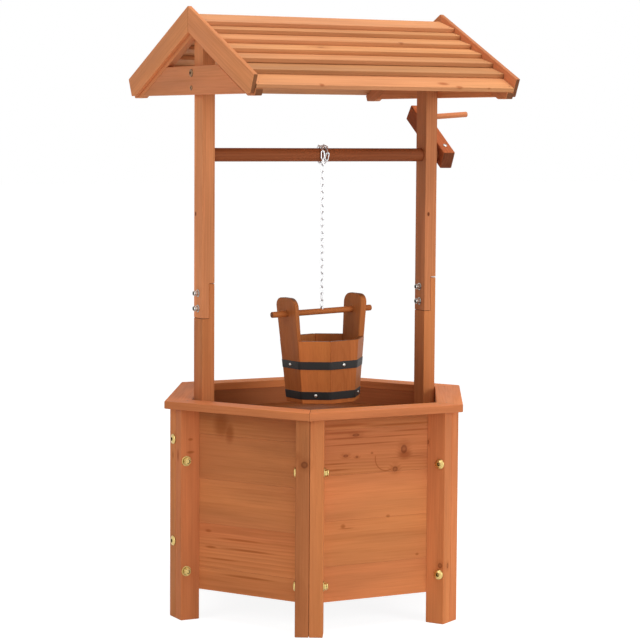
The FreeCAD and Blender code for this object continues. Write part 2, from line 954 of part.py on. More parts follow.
def build():
    """Every piece by name."""
    leg_bolts = make_leg_bolts()
    upright_bolts = make_upright_bolts()
    lap_bolts = make_lap_bolts()
    tie_bolts = make_tie_bolts()
    tie_screws = make_tie_screws()
    rim_nails = make_rim_nails()
    panel_nails = make_panel_nails()
    roof_nails = make_roof_nails()
    roof_nails += [mirrored_y(one) for one in roof_nails]
    nodes = {}
    for k in range(sides):
        wall_tools = panel_nails + upright_bolts
        nodes[f"rim_board_{k + 1}"] = make_rim_board(k, rim_nails)
        nodes[f"side_panel_{k + 1}"] = group(make_side_panel(k, wall_tools))
        nodes[f"leg_{k + 1}"] = group(make_leg(k, wall_tools + leg_bolts + rim_nails))
    nodes["leg_bolts"] = group(leg_bolts)
    nodes["upright_bolts"] = group(upright_bolts)
    nodes["planter_nuts"] = group(make_planter_nuts())
    nodes["nails"] = group(rim_nails + panel_nails + roof_nails)
    nodes["deck_boards"] = group(make_deck_boards())
    nodes["deck_cleats"] = group(make_deck_cleats())
    nodes["deck_bearer"] = make_deck_bearer()

    for name, side in (("left", -1), ("right", 1)):
        nodes[f"lower_upright_{name}"] = make_lower_upright(side, upright_bolts + lap_bolts)
        nodes[f"upper_upright_{name}"] = make_upper_upright(side, lap_bolts + tie_bolts + tie_screws)
        nodes[f"tie_{name}"] = make_tie(side, tie_bolts + tie_screws)
    nodes["lap_bolts"] = group(lap_bolts)
    nodes["lap_nuts"] = group(make_lap_nuts())
    nodes["lap_washers"] = group(make_lap_washers())
    nodes["tie_bolts"] = group(tie_bolts)
    nodes["tie_screws"] = group(tie_screws)
    for name, shape in make_bargeboards().items():
        nodes[f"bargeboard_{name}"] = shape
    for name, shape in make_rafters(roof_nails).items():
        nodes[f"rafter_{name}"] = shape
    slats = make_slats()
    nodes["roof_slats_back"] = group([slat.cut(roof_nails) for slat in slats])
    nodes["roof_slats_front"] = group([mirrored_y(slat).cut(roof_nails) for slat in slats])

    screw = make_crank_screw()
    peg = make_crank_peg()
    shaft = make_shaft(screw)
    nodes["windlass_shaft"] = shaft
    nodes["crank_arm"] = make_crank_arm([shaft, peg, screw])
    nodes["crank_peg"] = peg
    nodes["crank_screw"] = screw
    nodes["windlass_chain"] = group(make_wound_chain())
    nodes["bucket_chain"] = group(make_hanging_chain())

    rivets = make_rivets()
    handle = make_handle_stave(rivets)
    nodes["bucket_handle_right"] = hung(handle)
    nodes["bucket_handle_left"] = hung(rotated(handle, 180))
    nodes["bucket_staves"] = group([hung(stave) for stave in make_staves(rivets)])
    nodes["bucket_bottom"] = hung(make_bucket_bottom())
    staple = make_chain_staple()
    nodes["bucket_rod"] = hung(make_bucket_rod(staple))
    nodes["chain_staple"] = hung(staple)
    nodes["bucket_hoops"] = group([hung(make_hoop(height, rivets)) for height in hoop_heights])
    nodes["hoop_rivets"] = group([hung(rivet) for rivet in rivets])
    return nodes


os.makedirs("parts", exist_ok=True)
for name, shape in build().items():
    shape.exportStep(os.path.join("parts", name + ".step"))
    print(name, len(shape.Solids), "solids", round(shape.Volume), "mm3", "valid" if shape.isValid() else "INVALID")
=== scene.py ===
import json
import math
import random

import bpy
from bpy.props import FloatProperty, FloatVectorProperty, PointerProperty
from mathutils import Matrix, Vector

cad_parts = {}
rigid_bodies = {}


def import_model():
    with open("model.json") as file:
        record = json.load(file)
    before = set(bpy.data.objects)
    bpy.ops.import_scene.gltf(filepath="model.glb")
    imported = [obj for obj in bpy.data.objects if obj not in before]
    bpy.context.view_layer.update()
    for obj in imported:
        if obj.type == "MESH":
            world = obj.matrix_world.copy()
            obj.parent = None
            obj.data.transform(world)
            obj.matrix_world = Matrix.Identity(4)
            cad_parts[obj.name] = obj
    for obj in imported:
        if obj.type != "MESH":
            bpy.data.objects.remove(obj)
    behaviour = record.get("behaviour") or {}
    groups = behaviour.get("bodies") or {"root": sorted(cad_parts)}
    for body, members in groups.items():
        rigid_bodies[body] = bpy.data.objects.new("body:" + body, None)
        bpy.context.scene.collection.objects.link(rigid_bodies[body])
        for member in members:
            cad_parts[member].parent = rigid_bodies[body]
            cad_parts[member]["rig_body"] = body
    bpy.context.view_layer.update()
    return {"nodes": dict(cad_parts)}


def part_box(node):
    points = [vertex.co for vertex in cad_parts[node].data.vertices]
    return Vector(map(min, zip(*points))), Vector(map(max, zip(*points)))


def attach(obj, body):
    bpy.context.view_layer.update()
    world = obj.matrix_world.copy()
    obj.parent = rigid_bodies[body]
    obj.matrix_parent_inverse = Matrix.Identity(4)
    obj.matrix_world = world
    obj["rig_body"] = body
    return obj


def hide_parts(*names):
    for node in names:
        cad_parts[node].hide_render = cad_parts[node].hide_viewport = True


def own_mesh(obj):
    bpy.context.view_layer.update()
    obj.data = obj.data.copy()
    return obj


bl_info = {
    "name": "Wishing Well Planter",
    "version": (1, 0, 0),
    "blender": (4, 5, 0),
    "location": "View3D > Sidebar > Wishing Well",
    "description": "Dresses the wishing well planter: timber, chain, bucket and fasteners",
    "category": "Object",
}

# The start scene's own objects go before the frame comes in.
bpy.ops.object.select_all(action="SELECT")
bpy.ops.object.delete()
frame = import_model()

X = Vector((1, 0, 0))
Y = Vector((0, 1, 0))
Z = Vector((0, 0, 1))
SIDES = 6
HALF_TURN = math.pi / SIDES
GABLES = (("left", -1), ("right", 1))
SLOPES = (("back", 1), ("front", -1))


def srgb(red, green, blue):
    """A linear colour from its 0 to 255 screen values."""
    return tuple((value / 255) ** 2.2 for value in (red, green, blue))


# Settings


class WellTimber(bpy.types.PropertyGroup):
    """How the planter's boards are cut and stained."""

    edge_radius: FloatProperty(
        name="Edge radius", description="Rounding of the sawn edges", default=0.0013, unit="LENGTH"
    )
    roof_pitch: FloatProperty(
        name="Roof pitch", description="Slope", default=math.radians(25), unit="ROTATION"
    )
    bargeboard_width: FloatProperty(
        name="Bargeboard width", description="Across its slope", default=0.0435, unit="LENGTH"
    )
    rafter_width: FloatProperty(
        name="Rafter width", description="Across its slope", default=0.0252, unit="LENGTH"
    )
    slat_thickness: FloatProperty(
        name="Slat thickness", description="Of the roof slats", default=0.0086, unit="LENGTH"
    )
    stain: FloatVectorProperty(
        name="Stain", description="Planter box", subtype="COLOR", default=srgb(199, 122, 75)
    )
    # Lighter and yellower than the box's stain: partly the wood's own colour and partly painted
    # light from above
    gable_stain_and_light: FloatVectorProperty(
        name="Gable stain", description="Upper frame", subtype="COLOR", default=srgb(212, 135, 90)
    )
    # Lighter than the box's stain: partly the slats' own colour and partly painted light from
    # above
    roof_stain_and_light: FloatVectorProperty(
        name="Roof stain", description="Roof slats", subtype="COLOR", default=srgb(208, 144, 98)
    )
    # Darker than the box's stain: partly the wood's own redder colour and partly painted shade
    # under the roof
    windlass_stain_and_shade: FloatVectorProperty(
        name="Windlass stain", description="Windlass", subtype="COLOR", default=srgb(168, 94, 57)
    )
    late_wood: FloatVectorProperty(
        name="Late wood", description="Growth lines", subtype="COLOR", default=srgb(148, 76, 36)
    )
    knot: FloatVectorProperty(
        name="Knot", description="Colour of the knots", subtype="COLOR", default=srgb(98, 44, 18)
    )


class WellBucket(bpy.types.PropertyGroup):
    """The bucket's sizes and stain."""

    stave_thickness: FloatProperty(
        name="Stave thickness", description="Thickness of the wall", default=0.011, unit="LENGTH"
    )
    handle_corner: FloatProperty(
        name="Handle corner", description="Rounding of the handles", default=0.018, unit="LENGTH"
    )
    hoop_thickness: FloatProperty(
        name="Hoop thickness", description="Of the black hoops", default=0.0012, unit="LENGTH"
    )
    stain: FloatVectorProperty(
        name="Stain", description="Bucket's wood", subtype="COLOR", default=srgb(181, 108, 58)
    )
    late_wood: FloatVectorProperty(
        name="Late wood", description="Bucket's rings", subtype="COLOR", default=srgb(126, 60, 28)
    )


class WellMetal(bpy.types.PropertyGroup):
    """Colours of the fasteners, the chain and the hoops."""

    yellow_zinc: FloatVectorProperty(
        name="Yellow zinc", description="Leg bolts", subtype="COLOR", default=srgb(212, 184, 118)
    )
    bright_zinc: FloatVectorProperty(
        name="Bright zinc", description="Lap bolts", subtype="COLOR", default=srgb(208, 206, 200)
    )
    chain: FloatVectorProperty(
        name="Chain", description="Chain, staple", subtype="COLOR", default=srgb(235, 236, 238)
    )
    nail: FloatVectorProperty(
        name="Nails", description="Nails, roof screws", subtype="COLOR", default=srgb(142, 108, 80)
    )
    black_band: FloatVectorProperty(
        name="Black band", description="Bucket's hoops", subtype="COLOR", default=srgb(20, 20, 19)
    )


class WellStage(bpy.types.PropertyGroup):
    """The plain studio round the well."""

    key_power: FloatProperty(
        name="Key light", description="At the front right", default=50.0, unit="POWER"
    )
    top_power: FloatProperty(name="Top light", description="Above", default=66.0, unit="POWER")
    left_power: FloatProperty(
        name="Left light", description="At the left", default=28.0, unit="POWER"
    )
    fill_power: FloatProperty(
        name="Fill light", description="Beside the camera", default=14.0, unit="POWER"
    )
    ambient: FloatProperty(name="Ambient", description="White surroundings", default=0.3)
    focal_length: FloatProperty(
        name="Focal length", description="Of the camera", default=126.56, unit="CAMERA"
    )


# Modelling by hand


def deselect():
    if bpy.context.mode != "OBJECT":
        close_edit()
    bpy.ops.object.select_all(action="DESELECT")


def take(obj):
    """Make an object the only one selected, and the active one."""
    deselect()
    obj.select_set(True)
    bpy.context.view_layer.objects.active = obj


def set_in_place():
    """Put the selected object's place, turn and size into its mesh."""
    bpy.ops.object.transform_apply(location=True, rotation=True, scale=True)
    return bpy.context.object


def block(low, high):
    """A cube primitive that fills a box given by two corners."""
    low, high = Vector(low), Vector(high)
    deselect()
    bpy.ops.mesh.primitive_cube_add(size=1, location=(low + high) / 2, scale=high - low)
    return set_in_place()


def disc(radius, low, high, corners=32):
    """A cylinder primitive round the Z axis, from one height to another."""
    deselect()
    bpy.ops.mesh.primitive_cylinder_add(
        vertices=corners, radius=radius, depth=high - low, location=(0, 0, (low + high) / 2)
    )
    return set_in_place()


def facing(seat, direction):
    """The matrix that stands what was made along +Z at a seat, along a direction."""
    turn = Z.rotation_difference(Vector(direction).normalized())
    return Matrix.Translation(Vector(seat)) @ turn.to_matrix().to_4x4()


def bar(radius, start, end, corners=48):
    """A round bar from one point to another."""
    start, end = Vector(start), Vector(end)
    rod = disc(radius, 0, (end - start).length, corners)
    rod.data.transform(facing(start, end - start))
    return rod


def edit(obj, mode, action="DESELECT"):
    take(obj)
    bpy.ops.object.mode_set(mode="EDIT")
    bpy.ops.mesh.select_mode(type=mode)
    bpy.ops.mesh.select_all(action=action)


def close_edit():
    bpy.ops.object.mode_set(mode="OBJECT")


def pick(obj, mode, kind, test):
    """Open the object in edit mode with those of its parts selected that pass a test."""
    edit(obj, mode)
    close_edit()
    for part in getattr(obj.data, kind):
        part.select = test(part)
    bpy.ops.object.mode_set(mode="EDIT")


def pick_faces(obj, test):
    """Select faces by their middle and normal."""
    pick(obj, "FACE", "polygons", lambda face: test(face.center, face.normal))


def pick_edges(obj, test):
    """Select edges by the places of their two ends."""
    points = obj.data.vertices
    pick(obj, "EDGE", "edges", lambda edge: test(*(points[i].co for i in edge.vertices)))


def pick_points(obj, test):
    """Select points by their place."""
    pick(obj, "VERT", "vertices", lambda point: test(point.co))


def trim(obj, point, normal):
    """Saw off what lies beyond a plane and close the cut."""
    edit(obj, "VERT", "SELECT")
    bpy.ops.mesh.bisect(plane_co=point, plane_no=normal, use_fill=True, clear_outer=True)
    close_edit()


def apply_modifier(obj, kind, **settings):
    take(obj)
    bpy.ops.object.modifier_add(type=kind)
    modifier = obj.modifiers[-1]
    for name, value in settings.items():
        setattr(modifier, name, value)
    bpy.ops.object.modifier_apply(modifier=modifier.name)


def ease(obj, radius, segments=2):
    """Round every sharp edge a little."""
    sharp = {"limit_method": "ANGLE", "angle_limit": math.radians(20)}
    apply_modifier(obj, "BEVEL", width=radius, segments=segments, **sharp)


def carve(obj, cutter, operation="DIFFERENCE"):
    """Take a cutter out of an object, or keep only what they share, and discard the cutter."""
    apply_modifier(obj, "BOOLEAN", object=cutter, operation=operation, solver="EXACT")
    bpy.data.objects.remove(cutter)


def copied(obj, matrices):
    """A copy of the object at each matrix, each with its own mesh. The first one is discarded."""
    copies = []
    for matrix in matrices:
        one = obj.copy()
        one.data = obj.data.copy()
        bpy.context.collection.objects.link(one)
        one.data.transform(matrix)
        copies.append(one)
    bpy.data.objects.remove(obj)
    return copies


def joined(parts):
    deselect()
    for part in parts:
        part.select_set(True)
    bpy.context.view_layer.objects.active = parts[0]
    if len(parts) > 1:
        bpy.ops.object.join()
    return bpy.context.object


def mark_grain(obj, along, across, chance, figure=0.4, shade=1.0, turned=None):
    """Store each point's place in its board's wood, and each face's shade, figure and end grain.

    The place is along the grain, across it and through it, from a point in the trunk that
    differs from board to board, so each board shows its own growth rings and end grain. Faces
    turned a given way get painted light where their factor is above 1 and painted shade below 1.
    turned a given way can be lighter or darker than the rest.
    """
    way, painted_light = turned or (along, 1.0)
    through = along.cross(across)
    heart = (chance.uniform(-9, 9), chance.uniform(-0.05, 0.05), chance.uniform(0.03, 0.11))
    shade *= chance.uniform(0.95, 1.05)
    place = obj.data.attributes.new("grain", "FLOAT_VECTOR", "POINT")
    for i, point in enumerate(obj.data.vertices):
        turns = (point.co.dot(along), point.co.dot(across), point.co.dot(through))
        place.data[i].vector = Vector(heart) + Vector(turns)
    board = obj.data.attributes.new("board", "FLOAT_VECTOR", "FACE")
    for i, face in enumerate(obj.data.polygons):
        # Painted light and painted shade on the faces turned the given way
        shown = shade * painted_light if face.normal.dot(way) > 0.5 else shade
        board.data[i].vector = (shown, figure, abs(face.normal.dot(along)))


def present(parts, node, suffix, look=None):
    """Join parts into the piece that stands for a CAD node, with its finish, slot and body."""
    piece = joined(parts)
    piece.name = f"{node}_{suffix}"
    take(piece)
    bpy.ops.object.shade_smooth_by_angle(angle=math.radians(50))
    apply_modifier(piece, "WEIGHTED_NORMAL", mode="FACE_AREA", keep_sharp=True)
    name = frame["nodes"][node].material_slots[0].material.name
    piece.data.materials.clear()
    piece.data.materials.append(finish_for(look or name))
    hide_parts(node)
    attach(piece, frame["nodes"][node]["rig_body"])
    return piece


def keep_node(node, look):
    """A CAD node whose shape is right keeps it and gets a finished material."""
    frame["nodes"][node].material_slots[0].material = finish_for(look)


# Materials


class Nodes:
    """Short ways to add shader nodes to a tree. Inputs are constants or other nodes' outputs."""

    def __init__(self, tree):
        self.tree = tree

    def lead(self, value, socket):
        """Lead an output into a socket, or give the socket a constant."""
        if isinstance(value, bpy.types.NodeSocket):
            self.tree.links.new(value, socket)
        else:
            socket.default_value = value

    def add(self, kind, settings=None, **inputs):
        """Add a node, its inputs given by socket name or by _number."""
        made = self.tree.nodes.new("ShaderNode" + kind)
        for name, value in (settings or {}).items():
            setattr(made, name, value)
        for name, value in inputs.items():
            key = int(name[1:]) if name[0] == "_" else name.replace("_", " ")
            self.lead(value, made.inputs[key])
        return made

    @property
    def place(self):
        """Where the point lies on the object, in metres."""
        return self.add("TexCoord").outputs["Object"]

    def math(self, operation, first, second=0.0):
        return self.add("Math", {"operation": operation}, _0=first, _1=second).outputs[0]

    def times(self, *factors):
        product = factors[0]
        for factor in factors[1:]:
            product = self.math("MULTIPLY", product, factor)
        return product

    def total(self, *parts):
        """The sum of values, each given with its weight."""
        whole = 0.0
        for value, weight in parts:
            whole = self.math("ADD", whole, self.math("MULTIPLY", value, weight))
        return whole

    def most(self, first, second):
        return self.math("MAXIMUM", first, second)

    def rest(self, value):
        """What a value leaves of 1."""
        return self.math("SUBTRACT", 1.0, value)

    def vector(self, operation, first, second=(0, 0, 0), output="Vector"):
        made = self.add("VectorMath", {"operation": operation}, _0=first, _1=second)
        return made.outputs[output]

    def noise(self, vector, detail=2.0, scale=1.0):
        return self.add("TexNoise", Vector=vector, Scale=scale, Detail=detail).outputs["Fac"]

    def eased(self, value, low, high, start=0.0, end=1.0):
        """A value eased from start to end as it goes from low to high."""
        limits = {"From_Min": low, "From_Max": high, "To_Min": start, "To_Max": end}
        smooth = {"interpolation_type": "SMOOTHSTEP"}
        return self.add("MapRange", smooth, Value=value, **limits).outputs["Result"]

    def mix(self, share, first, second):
        return self.add("Mix", {"data_type": "RGBA"}, _0=share, _6=first, _7=second).outputs[2]

    def edges(self, radius):
        """Bright where the surface turns over an edge within a radius."""
        rounded = self.add("Bevel", {"samples": 4}, Radius=radius).outputs["Normal"]
        flat = self.add("NewGeometry").outputs["Normal"]
        return self.eased(self.vector("DOT_PRODUCT", rounded, flat, "Value"), 0.995, 0.86)

    def spots(self, spots, full, none):
        """1 within a share of each spot's half size and 0 beyond another share."""
        place = self.place
        mask = 0.0
        for centre, size in spots:
            shift = self.vector("SUBTRACT", place, centre)
            away = self.vector("LENGTH", self.vector("DIVIDE", shift, size), output="Value")
            mask = self.most(mask, self.eased(away, none, full))
        return mask

    def arc(self, centre, radius, way):
        """A hairline round a centre, on the side that a direction points to."""
        shift = self.vector("SUBTRACT", self.place, centre)
        away = self.vector("LENGTH", shift, output="Value")
        off = self.math("ABSOLUTE", self.math("SUBTRACT", away, radius))
        part = self.vector("DOT_PRODUCT", shift, way, "Value")
        return self.times(self.eased(off, 0.0016, 0.0003), self.eased(part, 0.3, 0.55))


def new_finish(name):
    """A material, the short ways into its nodes and its shader."""
    material = bpy.data.materials.new(name)
    material.use_nodes = True
    tree = material.node_tree
    return material, Nodes(tree), tree.nodes["Principled BSDF"]


def colour(value):
    return (*value, 1.0)


def timber(
    name, light, dark, knot, knots=(), streaks=(), arcs=(), specks=(), own_grain=True,
    gloss=0.55, ring=0.0056, ends=0.55,
):
    """Stained softwood: growth rings round a wandering heart, fibres, knots and rubbed edges."""
    material, nodes, shader = new_finish(name)
    if own_grain:
        place = nodes.add("Attribute", {"attribute_name": "grain"}).outputs["Vector"]
        board = nodes.add("Attribute", {"attribute_name": "board"}).outputs["Vector"]
        board = nodes.add("SeparateXYZ", Vector=board).outputs
        shade, figure, end = board["X"], board["Y"], nodes.eased(board["Z"], 0.5, 0.9)
    else:
        place = nodes.place
        stripes = nodes.noise(nodes.vector("MULTIPLY", place, (0.1, 11.0, 0.1)), 0.0)
        shade, figure, end = nodes.eased(stripes, 0.3, 0.7, 0.64, 0.8), 0.5, 0.0

    def grained(along, across, detail):
        """Noise that is drawn out along the grain."""
        return nodes.noise(nodes.vector("MULTIPLY", place, (along, across, across)), detail)

    # Knots: chance ones in about one cell of four, and the ones that the planter really shows
    cells = nodes.vector("MULTIPLY", place, (3.6, 8.0, 1.5))
    cells = nodes.add("TexVoronoi", Vector=cells, Scale=1.0).outputs
    chosen = nodes.add("SeparateColor", Color=cells["Color"]).outputs["Red"]
    chosen = nodes.math("GREATER_THAN", chosen, 0.76)
    near = nodes.times(nodes.eased(cells["Distance"], 0.15, 0.03), chosen)
    core = nodes.times(nodes.eased(cells["Distance"], 0.042, 0.024), chosen)
    near = nodes.most(near, nodes.spots(knots, 0.7, 3.2))
    core = nodes.most(core, nodes.spots(knots, 0.75, 1.2))
    core = nodes.times(core, nodes.rest(nodes.times(nodes.spots(knots, 0.2, 0.8), 0.45)))

    # Growth rings: distance from the heart of the trunk, pushed about along the grain
    heart = nodes.vector("MULTIPLY", place, (0.0, 1.0, 1.0))
    depth = nodes.total(
        (nodes.vector("LENGTH", heart, output="Value"), 1.0),
        (grained(1.6, 8.0, 3.0), 0.030),
        (grained(6.0, 55.0, 2.0), 0.005),
        (near, 0.006),
    )
    phase = nodes.math("FRACT", nodes.math("DIVIDE", depth, ring))
    fade = nodes.eased(grained(1.2, 12.0, 1.0), 0.35, 0.65, 0.25, 1.0)
    rings = nodes.times(nodes.eased(phase, 0.1, 0.88), nodes.eased(phase, 1.0, 0.9), fade)

    # Finer figure, and the streaks and hairlines that the planter really shows
    fine = nodes.eased(grained(16.0, 1100.0, 1.0), 0.4, 0.75)
    fibres = nodes.eased(grained(9.0, 330.0, 2.0), 0.42, 0.72)
    bands = nodes.eased(grained(2.2, 58.0, 3.0), 0.46, 0.74)
    clouds = grained(3.0, 14.0, 3.0)
    drift = grained(5.0, 45.0, 1.0)
    drawn = nodes.spots(streaks, 0.25, 1.0)
    for centre, radius, way in arcs:
        drawn = nodes.most(drawn, nodes.arc(centre, radius, way))

    base = colour(light)
    for mask, strength, tone in (
        (rings, nodes.eased(figure, 0.0, 1.0, 0.04, 0.36), dark),
        (bands, nodes.eased(figure, 0.0, 1.0, 0.12, 0.36), dark),
        (fibres, 0.12, dark),
        (fine, 0.10, dark),
        (drawn, 0.68, dark),
        (near, 0.32, dark),
        (core, 0.6, knot),
        (nodes.spots(specks, 0.6, 1.2), 0.9, knot),
    ):
        base = nodes.mix(nodes.times(mask, strength), base, colour(tone))
    # The shade holds each board's tone and, on faces turned a given way, painted light and painted
    # shade.
    value = nodes.times(
        shade,
        nodes.eased(clouds, 0.25, 0.75, 0.91, 1.09),
        nodes.eased(drift, 0.3, 0.7, 0.95, 1.05),
        nodes.rest(nodes.times(end, ends)),
    )
    hue = nodes.eased(grained(1.4, 6.0, 1.0), 0.3, 0.7, 0.497, 0.503)
    base = nodes.add("HueSaturation", Hue=hue, Value=value, Color=base).outputs["Color"]
    worn = tuple(min(1.0, part * 1.3 + 0.02) for part in light)
    patchy = nodes.eased(grained(30.0, 90.0, 2.0), 0.35, 0.65, 0.1, 0.5)
    base = nodes.mix(nodes.times(nodes.edges(0.0018), patchy), base, colour(worn))

    rough = nodes.eased(clouds, 0.3, 0.7, gloss, gloss + 0.1)
    rough = nodes.total((rough, 1.0), (fibres, 0.08))
    height = nodes.total((rings, -0.35), (fibres, -0.45), (fine, -0.3), (core, -0.6))
    bump = nodes.add("Bump", Strength=0.4, Distance=0.0004, Height=height).outputs["Normal"]
    nodes.lead(base, shader.inputs["Base Color"])
    nodes.lead(rough, shader.inputs["Roughness"])
    nodes.lead(bump, shader.inputs["Normal"])
    shader.inputs["Specular IOR Level"].default_value = 0.12
    return material


def metal(name, light, rough, metallic=1.0, spots=0.5, recess_shade=(0.05, 0.025, 0.012)):
    """Plated or painted metal, mottled and finely scratched, with painted shade in its recesses.
    """
    material, nodes, shader = new_finish(name)
    place = nodes.place
    mottle = nodes.noise(place, 3.0, 420.0)
    scratch = nodes.noise(nodes.vector("MULTIPLY", place, (900.0, 160.0, 900.0)), 2.0)
    dull = tuple(part * 0.6 for part in light)
    bright = tuple(min(1.0, part * 1.35 + 0.02) for part in light)
    share = nodes.times(nodes.eased(mottle, 0.4, 0.7), spots)
    base = nodes.mix(share, colour(light), colour(dull))
    base = nodes.mix(nodes.times(nodes.edges(0.0006), 0.6), base, colour(bright))
    # Painted shade: the colour darkens where ambient occlusion finds a recess.
    open_air = nodes.add("AmbientOcclusion", {"samples": 8}, Distance=0.005).outputs["AO"]
    base = nodes.mix(nodes.eased(open_air, 0.35, 0.8), colour(recess_shade), base)
    rough = nodes.eased(mottle, 0.3, 0.7, rough - 0.06, rough + 0.1)
    bump = nodes.add("Bump", Strength=0.2, Distance=0.0001, Height=scratch).outputs["Normal"]
    nodes.lead(base, shader.inputs["Base Color"])
    nodes.lead(rough, shader.inputs["Roughness"])
    nodes.lead(bump, shader.inputs["Normal"])
    shader.inputs["Metallic"].default_value = metallic
    return material


# Knots and dark streaks that show on the boards: centre and half size, in metres
FRONT_WALL = -0.237
MARK_DEPTH = 0.009


def front_marks(*marks):
    """Marks on the wall that faces -Y, each given by X, Z, half width and half height."""
    return tuple(((x, FRONT_WALL, z), (wide, MARK_DEPTH, high)) for x, z, wide, high in marks)


WALL_KNOTS = front_marks(
    (0.0579, 0.3292, 0.0066, 0.0080),
    (0.0395, 0.2932, 0.0056, 0.0050),
    (-0.0433, 0.3610, 0.0074, 0.0026),
    (-0.0641, 0.3237, 0.0052, 0.0026),
    (-0.0408, 0.3204, 0.0030, 0.0020),
    (-0.0095, 0.3259, 0.0016, 0.0014),
)
WALL_STREAKS = front_marks(
    (-0.0700, 0.3805, 0.0900, 0.0042),
    (0.0500, 0.3760, 0.1100, 0.0030),
    (-0.0700, 0.3665, 0.0900, 0.0038),
    (-0.0620, 0.3560, 0.0700, 0.0026),
    (0.0800, 0.3640, 0.0700, 0.0024),
    (0.0300, 0.3550, 0.0900, 0.0018),
    (-0.0300, 0.3440, 0.1200, 0.0020),
    (-0.0900, 0.3100, 0.0500, 0.0018),
    (-0.0900, 0.2990, 0.0500, 0.0026),
    (0.0700, 0.3150, 0.0600, 0.0014),
    (0.0600, 0.3190, 0.0200, 0.0120),
    (0.0253, 0.2066, 0.0060, 0.0040),
    (-0.0688, 0.1942, 0.0070, 0.0060),
    (-0.0620, 0.1900, 0.0240, 0.0016),
    (0.0880, 0.1305, 0.0050, 0.0034),
) + (
    ((-0.2345, -0.0679, 0.3690), (0.0240, 0.0240, 0.0300)),
    ((-0.2255, -0.0835, 0.3560), (0.0140, 0.0140, 0.0260)),
    ((-0.2140, -0.1034, 0.1580), (0.0700, 0.0700, 0.0030)),
    ((-0.2490, -0.0430, 0.1690), (0.0100, 0.0100, 0.0040)),
    ((-0.2460, -0.0481, 0.1390), (0.0180, 0.0180, 0.0034)),
    ((-0.2040, -0.1207, 0.1400), (0.0800, 0.0800, 0.0030)),
    ((-0.2340, -0.0688, 0.1180), (0.0500, 0.0500, 0.0022)),
    ((-0.2040, -0.1207, 0.0900), (0.0800, 0.0800, 0.0030)),
)
# Hairlines: centre, radius and the way to their middle
WALL_ARCS = (((0.021, FRONT_WALL, 0.315), 0.0235, (-26.0, 0.0, -34.0)),)
FRAME_KNOTS = (
    ((-0.1567, -0.2527, 0.3152), (0.0064, 0.0064, 0.0064)),
    ((0.1226, -0.2631, 0.1101), (0.0046, 0.0046, 0.0050)),
    ((0.1389, -0.2629, 0.1087), (0.0030, 0.0030, 0.0050)),
    ((0.1084, -0.2385, 0.3394), (0.0024, 0.0024, 0.0040)),
)
FRAME_STREAKS = (
    ((-0.1640, -0.2400, 0.3300), (0.0120, 0.0120, 0.0180)),
    ((-0.2777, -0.0254, 0.3160), (0.0110, 0.0110, 0.0036)),
    ((-0.2777, -0.0254, 0.3400), (0.0070, 0.0070, 0.0036)),
    ((-0.2971, -0.0117, 0.3102), (0.0080, 0.0060, 0.0160)),
    ((-0.2971, 0.0111, 0.3072), (0.0060, 0.0040, 0.0100)),
)
GABLE_SPECKS = (
    ((-0.2515, 0.0117, 0.7576), (0.0060, 0.0036, 0.0044)),
    ((0.2334, -0.0190, 0.7525), (0.0028, 0.0060, 0.0044)),
)
ROOF_STREAKS = (
    ((-0.1364, -0.2719, 0.9947), (0.0070, 0.0080, 0.0050)),
    ((0.1473, -0.2721, 0.9946), (0.0100, 0.0080, 0.0060)),
    ((0.1200, -0.2600, 1.0000), (0.0160, 0.0100, 0.0080)),
    ((0.2103, -0.2758, 0.9929), (0.0050, 0.0070, 0.0050)),
    ((0.0035, -0.0766, 1.1092), (0.0090, 0.0080, 0.0080)),
    ((0.0450, -0.0700, 1.1120), (0.0090, 0.0070, 0.0060)),
    ((-0.2500, -0.1314, 1.0960), (0.0120, 0.0060, 0.0050)),
    ((-0.2314, -0.1594, 1.0771), (0.0080, 0.0060, 0.0050)),
    ((0.1119, -0.1156, 1.0783), (0.0080, 0.0070, 0.0060)),
    ((0.0097, -0.1820, 1.0539), (0.0120, 0.0070, 0.0060)),
)
finishes = {}


def finish_for(look):
    """The finished material of one of the record's slots, or of a look of the scene's own."""
    if look not in finishes:
        scene = bpy.context.scene
        wood, pail, steel = scene.well_timber, scene.well_bucket, scene.well_metal
        planter = (wood.stain, wood.late_wood, wood.knot)
        # The gable and roof stains carry painted light from above, and the windlass stain painted
        # shade under the roof, each beside the wood's own colour.
        gable = (wood.gable_stain_and_light, wood.late_wood, wood.knot)
        roof = (wood.roof_stain_and_light, wood.late_wood, wood.knot)
        windlass = (wood.windlass_stain_and_shade, wood.knot, wood.knot)
        bucket = (pail.stain, pail.late_wood, wood.knot)
        walls = {"knots": WALL_KNOTS, "streaks": WALL_STREAKS, "arcs": WALL_ARCS}
        posts = {"knots": FRAME_KNOTS, "streaks": FRAME_STREAKS}
        # The colour of the chain's painted shade in its recesses
        chain_recess_shade = (0.35, 0.35, 0.36)
        maker, values, extras = {
            "board_timber": (timber, planter, walls),
            "frame_timber": (timber, planter, posts),
            "deck_timber": (timber, bucket, {"own_grain": False, "gloss": 0.35}),
            # The upper frame's end grain is drawn darker than elsewhere: partly end grain and
            # partly painted shade on the bargeboards' foot ends, which face down.
            "gable_timber": (timber, gable, {"specks": GABLE_SPECKS, "ends": 0.72}),
            "roof_timber": (timber, roof, {"streaks": ROOF_STREAKS}),
            "windlass_timber": (timber, windlass, {}),
            "bucket_timber": (timber, bucket, {"gloss": 0.42, "ring": 0.0044}),
            "bucket_floor_timber": (timber, bucket, {"own_grain": False}),
            "zinc_yellow_steel": (metal, (steel.yellow_zinc, 0.3), {}),
            "bright_zinc_steel": (metal, (steel.bright_zinc, 0.36), {}),
            "nail_steel": (metal, (steel.nail, 0.4), {}),
            "chain_steel": (metal, (steel.chain, 0.35, 1.0, 0.3, chain_recess_shade), {}),
            "black_band": (metal, (steel.black_band, 0.5, 0.0, 0.3, steel.black_band), {}),
        }[look]
        finishes[look] = maker(look, *values, **extras)
        finishes[look].name = look + "_finish"
    return finishes[look]


